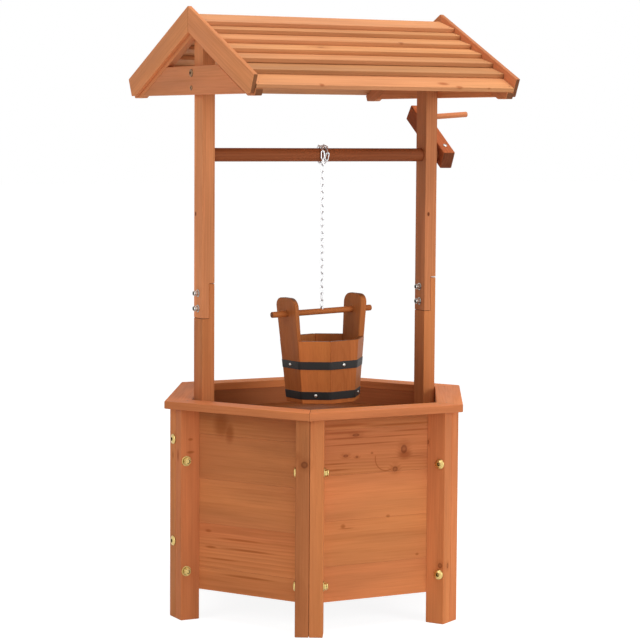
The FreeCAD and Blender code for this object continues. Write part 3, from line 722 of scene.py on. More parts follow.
# Planter box. Its sides are counted round from the one that faces 30 degrees, its corners from +X.

# Height of each panel's top board, and of the boards below it
TOP_BOARDS = (0.058, 0.035, 0.070, 0.0467, 0.0242, 0.052)
WALL_BOARD = 0.0835
# Half the gap between two wall boards, and the rounding of their edges
WALL_GAP = 0.00015
WALL_EDGE = 0.0004
# How strongly each board's figure shows, from the top down
PANEL_FIGURE = (
    (0.4, 0.3, 0.7, 0.3, 0.5),
    (0.3, 0.6, 0.3, 0.4, 0.6),
    (0.5, 0.3, 0.4, 0.8, 0.3),
    (0.5, 0.15, 0.3, 0.75, 0.6),
    (0.5, 0.7, 0.15, 0.2, 0.15),
    (0.3, 0.5, 0.4, 0.2, 0.7),
)
# How much lighter or darker each piece is drawn than the plain stain: the boards of the two panels
# in front from the top down, the inner face of every panel, the two battens of a leg, and the rim
# boards. The inner faces carry painted shade inside the box, and the front leg's battens carry
# painted shade on the left one and painted light on the right one.
WALL_SHADES = {3: (0.76, 0.93, 1.0, 1.12, 1.18), 4: (0.84, 0.97, 1.02, 0.98, 0.98)}
INSIDE_PAINTED_SHADE = (1.0, 0.74, 0.74, 0.74, 0.74, 0.9)
LEG_SHADES = {3: (1.05, 1.12), 4: (0.72, 1.08), 5: (1.14, 1.2)}
RIM_SHADES = (1.15, 1.35, 1.1, 0.98, 1.0, 1.0)
# Half the seam between the two battens of a leg at its outer face. It closes towards the box.
SEAM = 0.0003
SEAM_FOOT = 0.00004


def side_turn(k):
    """Turns what is made facing +Y to one of the box's sides."""
    return Matrix.Rotation((2 * k + 1) * HALF_TURN - math.pi / 2, 4, "Z")


def corner_turn(k):
    """Turns what is made facing +X to one of the box's corners."""
    return Matrix.Rotation(2 * k * HALF_TURN, 4, "Z")


def mitred(low_y, high_y, low_z, high_z):
    """A board of the hexagon that faces +Y, mitred at both of its corners."""
    reach = high_y * math.tan(HALF_TURN)
    board = block((-reach, low_y, low_z), (reach, high_y, high_z))
    for side in (-1, 1):
        trim(board, (0, 0, 0), (side * math.cos(HALF_TURN), -math.sin(HALF_TURN), 0))
    return board


def wall_joints(k):
    """Heights of the joints between one panel's boards, from the top down."""
    low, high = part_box("side_panel_2")
    joints = [high.z]
    height = high.z - TOP_BOARDS[k]
    while height > low.z:
        joints.append(height)
        height -= WALL_BOARD
    return joints + [low.z]


class WELL_OT_rim(bpy.types.Operator):
    """Make the six mitred boards of the planter's rim"""

    bl_idname = "well.rim"
    bl_label = "Rim"

    def execute(self, context):
        chance = random.Random(11)
        low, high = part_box("rim_board_2")
        for k in range(SIDES):
            board = mitred(low.y, high.y, low.z, high.z)
            ease(board, context.scene.well_timber.edge_radius)
            # Painted light: the rim boards' top faces are drawn lighter
            mark_grain(board, X, Y, chance, chance.uniform(0.2, 0.5), RIM_SHADES[k], (Z, 1.3))
            board.data.transform(side_turn(k))
            present([board], f"rim_board_{k + 1}", "timber")
        return {"FINISHED"}


class WELL_OT_walls(bpy.types.Operator):
    """Make the planter's six walls of horizontal boards"""

    bl_idname = "well.walls"
    bl_label = "Walls"

    def execute(self, context):
        chance = random.Random(23)
        low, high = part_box("side_panel_2")
        for k in range(SIDES):
            joints = wall_joints(k)
            shades = WALL_SHADES.get(k, (1.0,) * len(joints))
            boards = []
            for top, foot, figure, shade in zip(joints, joints[1:], PANEL_FIGURE[k], shades):
                gap = WALL_GAP if foot > low.z else 0
                board = mitred(low.y, high.y, foot + gap, top)
                ease(board, WALL_EDGE)
                # Painted shade on the inner face of each board
                mark_grain(board, X, Z, chance, figure, shade, (-Y, INSIDE_PAINTED_SHADE[k]))
                board.data.transform(side_turn(k))
                boards.append(board)
            present(boards, f"side_panel_{k + 1}", "timber")
        return {"FINISHED"}


class WELL_OT_legs(bpy.types.Operator):
    """Make the six legs, each of two battens side by side"""

    bl_idname = "well.legs"
    bl_label = "Legs"

    def execute(self, context):
        chance = random.Random(37)
        low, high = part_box("leg_1")
        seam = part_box("side_panel_2")[1].y / math.cos(HALF_TURN)
        for k in range(SIDES):
            battens = []
            for side, shade in zip((-1, 1), LEG_SHADES.get(k, (1.0, 1.0))):
                near, far = sorted((side * SEAM, side * high.y))
                batten = block((low.x, near, low.z), (high.x, far, high.z))
                for corner in batten.data.vertices:
                    if abs(corner.co.y) < 2 * SEAM and corner.co.x < seam:
                        corner.co.y = side * SEAM_FOOT
                wall = (-math.cos(HALF_TURN), -side * math.sin(HALF_TURN), 0)
                trim(batten, (seam, 0, 0), wall)
                ease(batten, context.scene.well_timber.edge_radius)
                # On the front leg, painted shade on the left batten and painted light on the right
                # one
                mark_grain(batten, Z, Y, chance, chance.uniform(0.15, 0.5), shade)
                batten.data.transform(corner_turn(k))
                battens.append(batten)
            present(battens, f"leg_{k + 1}", "timber")
        return {"FINISHED"}


class WELL_OT_floor(bpy.types.Operator):
    """Stain the planter's floor boards, their cleats and the bearer"""

    bl_idname = "well.floor"
    bl_label = "Planter floor"

    def execute(self, context):
        for node in ("deck_boards", "deck_cleats", "deck_bearer"):
            keep_node(node, "deck_timber")
        return {"FINISHED"}


# Fasteners. Each is made with its seat at the origin and its head along +Z. A row of seats gives
# for each fastener where its head and its other end sit, and the way that the head faces.

LEG_BOLT_HEIGHTS = (0.093, 0.300)
LEG_BOLT_DEPTH = 0.011
WALL_BOLT_HEIGHTS = (0.146, 0.338)
WALL_BOLT_SHIFT = 0.008
LAP_BOLT_HEIGHTS = (0.5815, 0.610)
BATTEN = 0.0254


def pan_head(radius, height, recess):
    """A domed head with a hexagon socket, a cross or nothing in its top."""
    rim = height * 0.25
    head = disc(radius, 0, rim)
    steps = 5
    for i in range(1, steps + 1):
        angle = math.pi / 2 * i / (steps + 1)
        before = math.pi / 2 * (i - 1) / (steps + 1)
        pick_faces(head, lambda middle, normal: normal.z > 0.99)
        rise = (height - rim) * (math.sin(angle) - math.sin(before))
        bpy.ops.mesh.extrude_region_move(TRANSFORM_OT_translate={"value": (0, 0, rise)})
        shrink = math.cos(angle) / math.cos(before)
        bpy.ops.transform.resize(value=(shrink, shrink, 1), center_override=(0, 0, 0))
        close_edit()
    if recess == "socket":
        carve(head, disc(radius * 0.44, height * 0.15, height * 1.2, 6))
    if recess == "cross":
        for wide, deep in ((0.5, 0.11), (0.11, 0.5)):
            reach, half = radius * wide, radius * deep
            carve(head, block((-reach, -half, height * 0.45), (reach, half, height * 1.2)))
    return head


def fastener(head_radius, head_height, radius, length, recess=None):
    head = pan_head(head_radius, head_height, recess)
    shank = disc(radius, -length, 0, 20)
    ease(shank, radius * 0.2)
    return joined([head, shank])


def hexagon(flats, low, high):
    """A hexagon with its outer corners turned down, as on a nut."""
    corner = flats / math.sqrt(3)
    piece = disc(corner, low, high, 6)
    lathe = disc(corner * 0.985, low - 0.001, high, 32)
    ease(lathe, (high - low) * 0.16, 1)
    carve(piece, lathe, "INTERSECT")
    return piece


def bored(piece, hole, low, high):
    """A piece with a round hole through it along Z."""
    carve(piece, disc(hole, low - 0.001, high + 0.001, 24))
    return piece


def lock_nut(flats, low, shoulder, high, hole):
    """A hexagon nut with a round collar, in whose bore the thread ends."""
    nut = hexagon(flats, low, shoulder)
    collar = disc(flats * 0.44, shoulder, high, 32)
    ease(collar, (high - shoulder) * 0.3)
    return joined([bored(part, hole, low, high) for part in (nut, collar)])


def flat_ring(radius, hole, thickness):
    ring = disc(radius, 0, thickness, 32)
    ease(ring, thickness * 0.3)
    return bored(ring, hole, 0, thickness)


def leg_seats():
    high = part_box("leg_1")[1]
    seats = []
    for k in range(SIDES):
        across = corner_turn(k) @ Y
        for height in LEG_BOLT_HEIGHTS:
            middle = corner_turn(k) @ Vector((high.x - LEG_BOLT_DEPTH, 0, height))
            seats.append((middle - across * high.y, middle + across * high.y, -across))
    return seats


def wall_seats():
    """The long bolts go through the legs on the X axis into the uprights."""
    outer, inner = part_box("leg_1")[1].x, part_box("lower_upright_right")[0].x
    seats = []
    for _, side in GABLES:
        for height in WALL_BOLT_HEIGHTS:
            head = (side * outer, WALL_BOLT_SHIFT, height)
            seats.append((head, (side * inner, WALL_BOLT_SHIFT, height), side * X))
    return seats


def lap_seats():
    """Both uprights have the heads on their +X face and the nuts on their -X face."""
    seats = []
    for name, _ in GABLES:
        low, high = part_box("lower_upright_" + name)
        for height in LAP_BOLT_HEIGHTS:
            seats.append(((high.x, 0, height), (low.x, 0, height), X))
    return seats


def at_heads(seats):
    return [facing(head, way) for head, _, way in seats]


def at_ends(seats):
    return [facing(end, -way) for _, end, way in seats]


class WELL_OT_planter_bolts(bpy.types.Operator):
    """Make the domed bolts of the legs and uprights, and their nuts and washers"""

    bl_idname = "well.planter_bolts"
    bl_label = "Planter bolts"

    def execute(self, context):
        thread_end, thread = 0.0074, 0.004
        head_radius, head_height = 0.0095, 0.0045
        washer, bore = 0.0015, 0.0041
        for node, seats in (("leg_bolts", leg_seats()), ("upright_bolts", wall_seats())):
            head, end, _ = seats[0]
            length = (Vector(end) - Vector(head)).length + thread_end
            bolt = fastener(head_radius, head_height, thread, length, "socket")
            present(copied(bolt, at_heads(seats)), node, "steel")
        nut = lock_nut(0.013, washer, 0.0064, 0.0088, bore)
        nut = joined([nut, flat_ring(0.0095, bore, washer)])
        present(copied(nut, at_ends(leg_seats() + wall_seats())), "planter_nuts", "steel")
        return {"FINISHED"}


class WELL_OT_lap_bolts(bpy.types.Operator):
    """Make the hexagon bolts, nuts and washers of the uprights' lap joints"""

    bl_idname = "well.lap_bolts"
    bl_label = "Lap bolts"

    def execute(self, context):
        thread_end, thread = 0.0020, 0.003
        flats, washer = 0.010, 0.0012
        seats = lap_seats()
        head = hexagon(flats, washer, washer + 0.004)
        shank = disc(thread, -(BATTEN + washer + thread_end), washer, 20)
        ease(shank, 0.0005)
        present(copied(joined([head, shank]), at_heads(seats)), "lap_bolts", "steel")
        nut = lock_nut(flats, washer, washer + 0.006, washer + 0.0086, 0.0037)
        present(copied(nut, at_ends(seats)), "lap_nuts", "steel")
        ring = flat_ring(0.007, 0.0031, washer)
        present(copied(ring, at_heads(seats) + at_ends(seats)), "lap_washers", "steel")
        return {"FINISHED"}


class WELL_OT_roof_screws(bpy.types.Operator):
    """Make the bolts and screws in the ties"""

    bl_idname = "well.roof_screws"
    bl_label = "Roof screws"

    def execute(self, context):
        low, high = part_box("tie_right")
        for node, height, screw in (
            ("tie_bolts", low.z + 0.040, fastener(0.00725, 0.003, 0.003, 0.0387, "socket")),
            ("tie_screws", low.z + 0.0125, fastener(0.0045, 0.002, 0.00225, 0.032, "cross")),
        ):
            stands = [facing((side * high.x, 0, height), side * X) for _, side in GABLES]
            present(copied(screw, stands), node, "steel", "nail_steel")
        return {"FINISHED"}


class WELL_OT_nails(bpy.types.Operator):
    """Make the nails of the rim, the walls and the roof"""

    bl_idname = "well.nails"
    bl_label = "Nails"

    def execute(self, context):
        proud, sunk = 0.00015, -0.0008
        head = disc(0.0015, sunk, proud, 12)
        ease(head, 0.0002, 1)
        nail = joined([head, disc(0.0008, -0.02, sunk, 6)])
        stands = rim_nails() + wall_nails() + roof_nails(context)
        present(copied(nail, stands), "nails", "steel", "nail_steel")
        return {"FINISHED"}


def rim_nails():
    """Each rim board is nailed down to a batten of the leg at either of its ends."""
    low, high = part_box("leg_1")
    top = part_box("rim_board_2")[1].z
    stands = []
    for k in range(SIDES):
        for side in (-1, 1):
            spot = Vector(((low.x + high.x) / 2, side * high.y / 2, top))
            stands.append(facing(corner_turn(k) @ spot, Z))
    return stands


def wall_nails():
    """Each wall board is nailed from inside the box to the leg at either of its ends."""
    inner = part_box("side_panel_2")[0].y
    reach = inner * math.tan(HALF_TURN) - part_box("leg_1")[1].y / 2
    stands = []
    for k in range(SIDES):
        joints = wall_joints(k)
        for top, foot in zip(joints, joints[1:]):
            for side in (-1, 1):
                stand = facing((side * reach, inner, (top + foot) / 2), -Y)
                stands.append(side_turn(k) @ stand)
    return stands


def roof_nails(context):
    """At each end of each slat a nail goes down into the rafter."""
    low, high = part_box("rafter_right_back")
    middle = (low.x + high.x) / 2
    edge = 0.009
    thickness = context.scene.well_timber.slat_thickness
    stands = []
    for _, slope_side in SLOPES:
        for rest in slat_rests(context):
            stand = slat_stand(context, slope_side, *rest)
            for side in (-1, 1):
                stands.append(stand @ facing((side * middle, edge, thickness), Z))
    return stands


# Uprights

# Gaps at the foot and at the top of each lap joint, the shades of the lower and upper lengths, and
# how much lighter or darker the upper length's -X face is drawn than the rest of it: painted light
# on the left upright and painted shade on the right one
LAP_GAPS = {"left": (0.0003, 0.0003), "right": (0.0003, 0.0015)}
UPRIGHT_SHADES = {"left": (0.92, 1.03), "right": (1.02, 0.9)}
OUTER_PAINTED_LIGHT = {"left": 1.28, "right": 0.95}
LAP_TONGUE = 0.014
# The shaft's bore is blind in the left upright and goes through the right one.
SHAFT_BORE = 0.0129
SHAFT_PLAY = 0.0005
BORE_END = 0.3


class WELL_OT_uprights(bpy.types.Operator):
    """Make the two uprights, each of two lengths that lap"""

    bl_idname = "well.uprights"
    bl_label = "Uprights"

    def execute(self, context):
        wood = context.scene.well_timber
        chance = random.Random(41)
        shaft_low, shaft_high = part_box("windlass_shaft")
        axle_height = (shaft_low.z + shaft_high.z) / 2
        for name, _ in GABLES:
            low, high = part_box(f"lower_upright_{name}")
            upper_low, upper_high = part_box(f"upper_upright_{name}")
            foot_gap, top_gap = LAP_GAPS[name]
            lower_shade, upper_shade = UPRIGHT_SHADES[name]
            lap_low, lap_high = upper_low.z - foot_gap, high.z + top_gap
            seam = low.x + LAP_TONGUE

            post = block(low, (high.x, high.y, lap_low))
            self.tongue(post, seam, 1, high.z - lap_low)
            ease(post, wood.edge_radius)
            mark_grain(post, Z, Y, chance, 0.35, lower_shade)
            present([post], f"lower_upright_{name}", "timber")

            post = block((low.x, low.y, lap_high), upper_high)
            for way in (-1, 1):
                slope = (0, way * math.sin(wood.roof_pitch), math.cos(wood.roof_pitch))
                trim(post, (0, 0, upper_high.z), slope)
            self.tongue(post, seam, -1, lap_high - upper_low.z)
            ease(post, wood.edge_radius)
            start = (shaft_low.x - SHAFT_PLAY, 0, axle_height)
            carve(post, bar(SHAFT_BORE, start, (BORE_END, 0, axle_height)))
            # Painted light on the left and painted shade on the right upright's -X face
            mark_grain(post, Z, Y, chance, 0.45, upper_shade, (-X, OUTER_PAINTED_LIGHT[name]))
            present([post], f"upper_upright_{name}", "timber", "gable_timber")
        return {"FINISHED"}

    def tongue(self, post, seam, way, length):
        """Lengthen the part of the post's end on one side of a seam."""

        def end(middle, normal):
            return normal.z * way > 0.99 and (middle.x - seam) * way > 0

        edit(post, "VERT", "SELECT")
        bpy.ops.mesh.bisect(plane_co=(seam, 0, 0), plane_no=(1, 0, 0))
        close_edit()
        pick_faces(post, end)
        bpy.ops.mesh.extrude_region_move(TRANSFORM_OT_translate={"value": (0, 0, way * length)})
        close_edit()


# Roof

# How much lighter or darker a board is drawn than the plain stain
GABLE_SHADES = {"bargeboard_left_front": 1.25, "bargeboard_left_back": 1.15}
SLAT_SHADES = {"back": (1.0,) * 7, "front": (1.03, 0.84, 1.0, 1.11, 1.0, 1.0, 1.05)}
# A slat's width and its step up the slope. The lowest slat is narrower under the next one.
SLATS = 7
SLAT_WIDTH = 0.057
SLAT_PITCH = 0.0435
EAVE_SLAT_WIDTH = 0.0465
# Level distances from the ridge to the roof's lower edge and to the top slat's lower edge, and the
# top slat's height over the rafters at the ridge
SLAT_REACH = 0.270
RIDGE_REACH = 0.0477
RIDGE_LIFT = 0.006
SEAT_GAP = 0.00012


def down_slope(context, side):
    pitch = context.scene.well_timber.roof_pitch
    return Vector((0, side * math.cos(pitch), -math.sin(pitch)))


def sloping_board(context, low, high, width, side):
    """A board down one slope: plumb at the apex, square at its end and level at its foot."""
    pitch = context.scene.well_timber.roof_pitch
    reach = max(abs(low.y), abs(high.y))
    near, far = sorted((-side * width, side * reach / math.cos(pitch)))
    board = block((low.x, near, -width), (high.x, far, 0))
    lean = Matrix.Rotation(-side * pitch, 4, "X")
    board.data.transform(Matrix.Translation((0, 0, high.z)) @ lean)
    trim(board, (0, 0, 0), (0, -side, 0))
    trim(board, (0, 0, low.z), (0, 0, -1))
    return board


class WELL_OT_gables(bpy.types.Operator):
    """Make the bargeboards, the rafters behind them and the ties"""

    bl_idname = "well.gables"
    bl_label = "Gables"

    def execute(self, context):
        wood = context.scene.well_timber
        pitch = wood.roof_pitch
        widths = (("bargeboard", wood.bargeboard_width), ("rafter", wood.rafter_width))
        chance = random.Random(59)
        for gable, _ in GABLES:
            for slope_name, side in SLOPES:
                for kind, width in widths:
                    node = f"{kind}_{gable}_{slope_name}"
                    low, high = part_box(node)
                    board = sloping_board(context, low, high, width, side)
                    ease(board, wood.edge_radius)
                    figure = chance.uniform(0.05, 0.3)
                    shade = GABLE_SHADES.get(node, 1.0)
                    grain = down_slope(context, side)
                    # Painted shade: the boards' upper edges are drawn darker
                    mark_grain(board, grain, X, chance, figure, shade, (Z, 0.8))
                    present([board], node, "timber", "gable_timber")
            tie = block(*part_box(f"tie_{gable}"))
            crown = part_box(f"rafter_{gable}_back")[1].z - wood.rafter_width / math.cos(pitch)
            for side in (-1, 1):
                slope = (0, side * math.sin(pitch), math.cos(pitch))
                trim(tie, (0, 0, crown - 0.0002), slope)
            ease(tie, wood.edge_radius)
            # Painted light: the tie's front end is drawn lighter
            mark_grain(tie, Y, Z, chance, 0.4, 1.1, (-Y, 1.7))
            present([tie], f"tie_{gable}", "timber", "gable_timber")
        return {"FINISHED"}


def slat_rests(context):
    """Each slat's start up the slope, its underside's height there and its tilt from the slope.

    A slat's upper edge lies on the rafters and its underside on the upper corner of the slat
    below. The first slat lies flat and reaches only a little way under the second.
    """
    wood = context.scene.well_timber
    thickness, pitch = wood.slat_thickness, wood.roof_pitch
    rests = [(0.0, 0.0, 0.0)]
    width = EAVE_SLAT_WIDTH
    for i in range(1, SLATS - 1):
        below, _, lean = rests[-1]
        start = SLAT_PITCH * i
        beyond = below + width * math.cos(lean) + thickness * math.sin(lean) - start
        high = thickness * math.cos(lean) + SEAT_GAP
        tilt = 0.2
        for _ in range(12):
            tilt = math.asin((high + beyond * math.tan(tilt)) / SLAT_WIDTH)
        rests.append((start, SLAT_WIDTH * math.sin(tilt), tilt))
        width = SLAT_WIDTH
    below, lift, lean = rests[-1]
    ridge = SLAT_REACH / math.cos(pitch)
    start = ridge - RIDGE_REACH / math.cos(pitch)
    beyond = start - below - thickness * math.sin(lean)
    top = lift + thickness * math.cos(lean) - beyond * math.tan(lean) + SEAT_GAP
    rests.append((start, top, math.atan((top - RIDGE_LIFT) / (ridge - start))))
    return rests


def slat_stand(context, side, start, lift, tilt):
    """The matrix that lays a slat, made along X and up +Y, on one slope of the roof."""
    pitch = context.scene.well_timber.roof_pitch
    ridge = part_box("rafter_right_back")[1].z
    up = Vector((0, -side * math.cos(pitch), math.sin(pitch)))
    out = Vector((0, side * math.sin(pitch), math.cos(pitch)))
    eave = Vector((0, side * SLAT_REACH, ridge - SLAT_REACH * math.tan(pitch)))
    along = up * math.cos(tilt) - out * math.sin(tilt)
    above = up * math.sin(tilt) + out * math.cos(tilt)
    turn = Matrix((-side * X, along, above)).transposed().to_4x4()
    return Matrix.Translation(eave + up * start + out * lift) @ turn


class WELL_OT_slats(bpy.types.Operator):
    """Make the lapped slats of both slopes"""

    bl_idname = "well.slats"
    bl_label = "Roof slats"

    def execute(self, context):
        wood = context.scene.well_timber
        chance = random.Random(73)
        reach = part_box("roof_slats_back")[1].x
        widths = (EAVE_SLAT_WIDTH,) + (SLAT_WIDTH,) * (SLATS - 2) + (2 * SLAT_WIDTH,)
        for name, side in SLOPES:
            slats = []
            for rest, width, shade in zip(slat_rests(context), widths, SLAT_SHADES[name]):
                slat = block((-reach, 0, 0), (reach, width, wood.slat_thickness))
                stand = slat_stand(context, side, *rest)
                if width > SLAT_WIDTH:
                    # The top slat is cut plumb at the ridge.
                    slat.data.transform(stand)
                    trim(slat, (0, 0, 0), (0, -side, 0))
                    slat.data.transform(stand.inverted())
                ease(slat, wood.edge_radius)
                # Painted shade: each slat's lower edge is drawn darker
                mark_grain(slat, X, Y, chance, chance.uniform(0.1, 0.5), shade, (-Y, 0.82))
                slat.data.transform(stand)
                slats.append(slat)
            present(slats, f"roof_slats_{name}", "timber")
        return {"FINISHED"}


# Windlass. The crank is made along +Y from the axle at the origin.

AXLE_HEIGHT = 0.8675
SHAFT_RADIUS = 0.0127
TENON_RADIUS = 0.010
CRANK_ANGLE = math.radians(35.4)
CRANK_OFFSET = 0.0055
CRANK_WIDTH = 0.034
CRANK_ENDS = (-0.040, 0.1375)
# The crank's inner end is sawn off askew, through a point this far along it
CRANK_CUT = -0.026
CRANK_SKEW = math.radians(11)
CRANK_BORE = 0.0101
PEG_PLACE = 0.119
PEG_RADIUS = 0.0055
# How far the peg reaches from the crank's outer face, inwards and outwards
PEG_REACH = (0.024, 0.101)
PEG_RISE = math.radians(4)


def crank_stand():
    return Matrix.Translation((0, 0, AXLE_HEIGHT)) @ Matrix.Rotation(CRANK_ANGLE, 4, "X")


class WELL_OT_windlass(bpy.types.Operator):
    """Make the shaft, the crank arm, its peg and its screw"""

    bl_idname = "well.windlass"
    bl_label = "Windlass"

    def execute(self, context):
        chance = random.Random(83)
        low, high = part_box("crank_arm")
        start, end = (corner.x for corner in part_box("windlass_shaft"))
        shaft = bar(SHAFT_RADIUS, (start, 0, AXLE_HEIGHT), (low.x, 0, AXLE_HEIGHT))
        tenon = bar(TENON_RADIUS, (low.x - 0.002, 0, AXLE_HEIGHT), (end, 0, AXLE_HEIGHT))
        for piece in (shaft, tenon):
            ease(piece, 0.0012)
            # Painted shade: the shaft is drawn darker, as it lies under the roof
            mark_grain(piece, X, Y, chance, 0.4, 0.75)
        present([shaft, tenon], "windlass_shaft", "timber", "windlass_timber")

        foot, top = CRANK_OFFSET - CRANK_WIDTH / 2, CRANK_OFFSET + CRANK_WIDTH / 2
        arm = block((low.x, CRANK_ENDS[0], foot), (high.x, CRANK_ENDS[1], top))
        askew = (0, -math.cos(CRANK_SKEW), math.sin(CRANK_SKEW))
        trim(arm, (0, CRANK_CUT, CRANK_OFFSET), askew)
        ease(arm, 0.0022, 3)
        carve(arm, bar(CRANK_BORE, (low.x - 0.01, 0, 0), (high.x + 0.01, 0, 0)))
        # Painted light: the crank arm's top face is drawn lighter
        mark_grain(arm, Y, X, chance, 0.6, 1.02, (Z, 1.55))
        arm.data.transform(crank_stand())
        present([arm], "crank_arm", "timber", "windlass_timber")

        way = Vector((math.cos(PEG_RISE), 0, math.sin(PEG_RISE)))
        centre = crank_stand() @ Vector((high.x, PEG_PLACE, CRANK_OFFSET))
        inner, outer = PEG_REACH
        peg = bar(PEG_RADIUS, centre - way * inner, centre + way * outer, 32)
        ease(peg, 0.0012, 3)
        mark_grain(peg, way, Y, chance, 0.3, 0.9)
        present([peg], "crank_peg", "timber", "gable_timber")

        screw = fastener(0.00425, 0.0022, 0.002, top, "cross")
        seat = Matrix.Translation(((low.x + high.x) / 2, 0, top))
        screw.data.transform(crank_stand() @ seat)
        present([screw], "crank_screw", "steel")
        return {"FINISHED"}


# Chain

WIRE = 0.0022
LINK_WIDTH = 0.0082
LINKS = 22
BUCKET_X = 0.001
BUCKET_Y = -0.016
BUCKET_YAW = math.radians(6)
BUCKET_LEAN = math.radians(1.4)
ROD_HEIGHT = 0.5696
ROD_RADIUS = 0.00575
CHAIN_FOOT = ROD_HEIGHT + ROD_RADIUS + 0.0029
LINK_PITCH = (AXLE_HEIGHT - CHAIN_FOOT) / (LINKS + 0.5)
LINK_PLAY = 0.00035
CHAIN_TWIST = math.radians(-16)
# The wound chain's radius, its step along the shaft in one turn and its number of turns
CHAIN_RADIUS = 0.016
WOUND_PITCH = 0.0096
WOUND_TURNS = 1.45
STAPLE_REACH = 0.0098


def hung():
    """The matrix of the bucket, which hangs turned and leaning a little."""
    turn = Matrix.Rotation(BUCKET_YAW, 4, "Z") @ Matrix.Rotation(-BUCKET_LEAN, 4, "Y")
    return Matrix.Translation((BUCKET_X, BUCKET_Y, ROD_HEIGHT)) @ turn


def wire_ring(radius, segments, sides, place=(0, 0, 0), turn=(0, 0, 0)):
    deselect()
    bpy.ops.mesh.primitive_torus_add(
        major_radius=radius, minor_radius=WIRE / 2, major_segments=segments,
        minor_segments=sides, location=place, rotation=turn,
    )
    return set_in_place()


def chain_link():
    """One oval link, long in X and flat in XY: a ring whose two halves are drawn apart."""
    bend = (LINK_WIDTH - WIRE) / 2
    reach = (LINK_PITCH + WIRE) / 2 + LINK_PLAY - bend
    segments = 16
    link = wire_ring(bend, segments, 10, turn=(0, 0, math.pi / segments))
    for side in (-1, 1):
        pick_points(link, lambda co: co.x * side > 0)
        bpy.ops.transform.translate(value=(side * reach, 0, 0))
        close_edit()
    return link


class WELL_OT_chain(bpy.types.Operator):
    """Make the chain's turns on the shaft, its hanging length and the staple on the rod"""

    bl_idname = "well.chain"
    bl_label = "Chain"

    def execute(self, context):
        hanging = present(copied(chain_link(), self.hanging()), "bucket_chain", "steel")
        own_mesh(hanging)
        present(copied(chain_link(), self.wound()), "windlass_chain", "steel")

        # The staple is a ring whose lower half is drawn down and sawn off inside the rod.
        bend = WIRE + 0.0009
        middle = ROD_RADIUS + 0.0007 + 1.5 * WIRE - bend
        staple = wire_ring(bend, 36, 12, (0, 0, middle), (0, math.pi / 2, 0))
        pick_points(staple, lambda co: co.z < middle - 0.0001)
        bpy.ops.transform.translate(value=(0, 0, -STAPLE_REACH))
        close_edit()
        trim(staple, (0, 0, -0.002), (0, 0, -1))
        staple.data.transform(hung())
        present([staple], "chain_staple", "steel")
        return {"FINISHED"}

    def hanging(self):
        """The stands of the hanging links, each a quarter turn from the next."""
        quarter = math.pi / 2
        upright = Matrix.Rotation(-quarter, 4, "Y")
        stands = []
        for i in range(LINKS):
            turn = BUCKET_YAW + quarter * ((i + 1) % 2) + CHAIN_TWIST * i / LINKS
            centre = Vector((BUCKET_X, BUCKET_Y, CHAIN_FOOT + LINK_PITCH * (i + 0.5)))
            stands.append(Matrix.Translation(centre) @ Matrix.Rotation(turn, 4, "Z") @ upright)
        return stands

    def wound(self):
        """The stands of the links that lie on the shaft."""
        quarter = math.pi / 2
        climb = math.atan(WOUND_PITCH / (2 * math.pi * CHAIN_RADIUS))
        step = 2 * math.atan(LINK_PITCH * math.cos(climb) / 2 / CHAIN_RADIUS)
        stands = []
        for i in range(int(2 * math.pi * WOUND_TURNS / step) + 1):
            angle = step * i
            x = BUCKET_X + WOUND_PITCH * angle / (2 * math.pi)
            y = -CHAIN_RADIUS * math.cos(angle)
            z = AXLE_HEIGHT + CHAIN_RADIUS * math.sin(angle)
            leaning = Matrix.Rotation(BUCKET_YAW + CHAIN_TWIST - quarter * (i % 2), 4, "X")
            aimed = Matrix.Rotation(quarter - climb * min(i, 1), 4, "Z")
            faced = Matrix.Rotation(quarter - angle, 4, "X")
            stands.append(Matrix.Translation((x, y, z)) @ faced @ aimed @ leaning)
        return stands


# Bucket, made with the middle of its rod at the origin

STAVES = 8
HALF_STAVE = math.pi / STAVES
RIM_LOW = -0.0503
FLOOR_LOW = RIM_LOW - 0.120
HANDLE_HIGH = 0.0307
# The wall's flare, and the distance from the bucket's middle to its outer face at the floor
FLARE = 0.087
FLOOR_APOTHEM = 0.0657
ROD_END = 0.1135
ROD_PLAY = 0.0006
HOOP_WIDTH = 0.015
HOOP_HEIGHTS = (0.0085, 0.066)
# How much lighter a stave is drawn than the plain stain
STAVE_SHADES = {5: 1.36, 6: 1.12}


def wall_apothem(height):
    return FLOOR_APOTHEM + FLARE * (height - FLOOR_LOW)


def stave(context, top):
    """The +X stave: a block sawn to the wall's flare and to its two radial joints."""
    inner = FLOOR_APOTHEM - context.scene.well_bucket.stave_thickness
    outer = wall_apothem(top)
    half = outer * math.tan(HALF_STAVE)
    piece = block((inner, -half, FLOOR_LOW), (outer, half, top))
    trim(piece, (FLOOR_APOTHEM, 0, FLOOR_LOW), (1, 0, -FLARE))
    trim(piece, (inner, 0, FLOOR_LOW), (-1, 0, FLARE))
    for side in (-1, 1):
        trim(piece, (0, 0, 0), (-math.sin(HALF_STAVE), side * math.cos(HALF_STAVE), 0))
    return piece


def stave_turn(i):
    return Matrix.Rotation(2 * HALF_STAVE * i, 4, "Z")


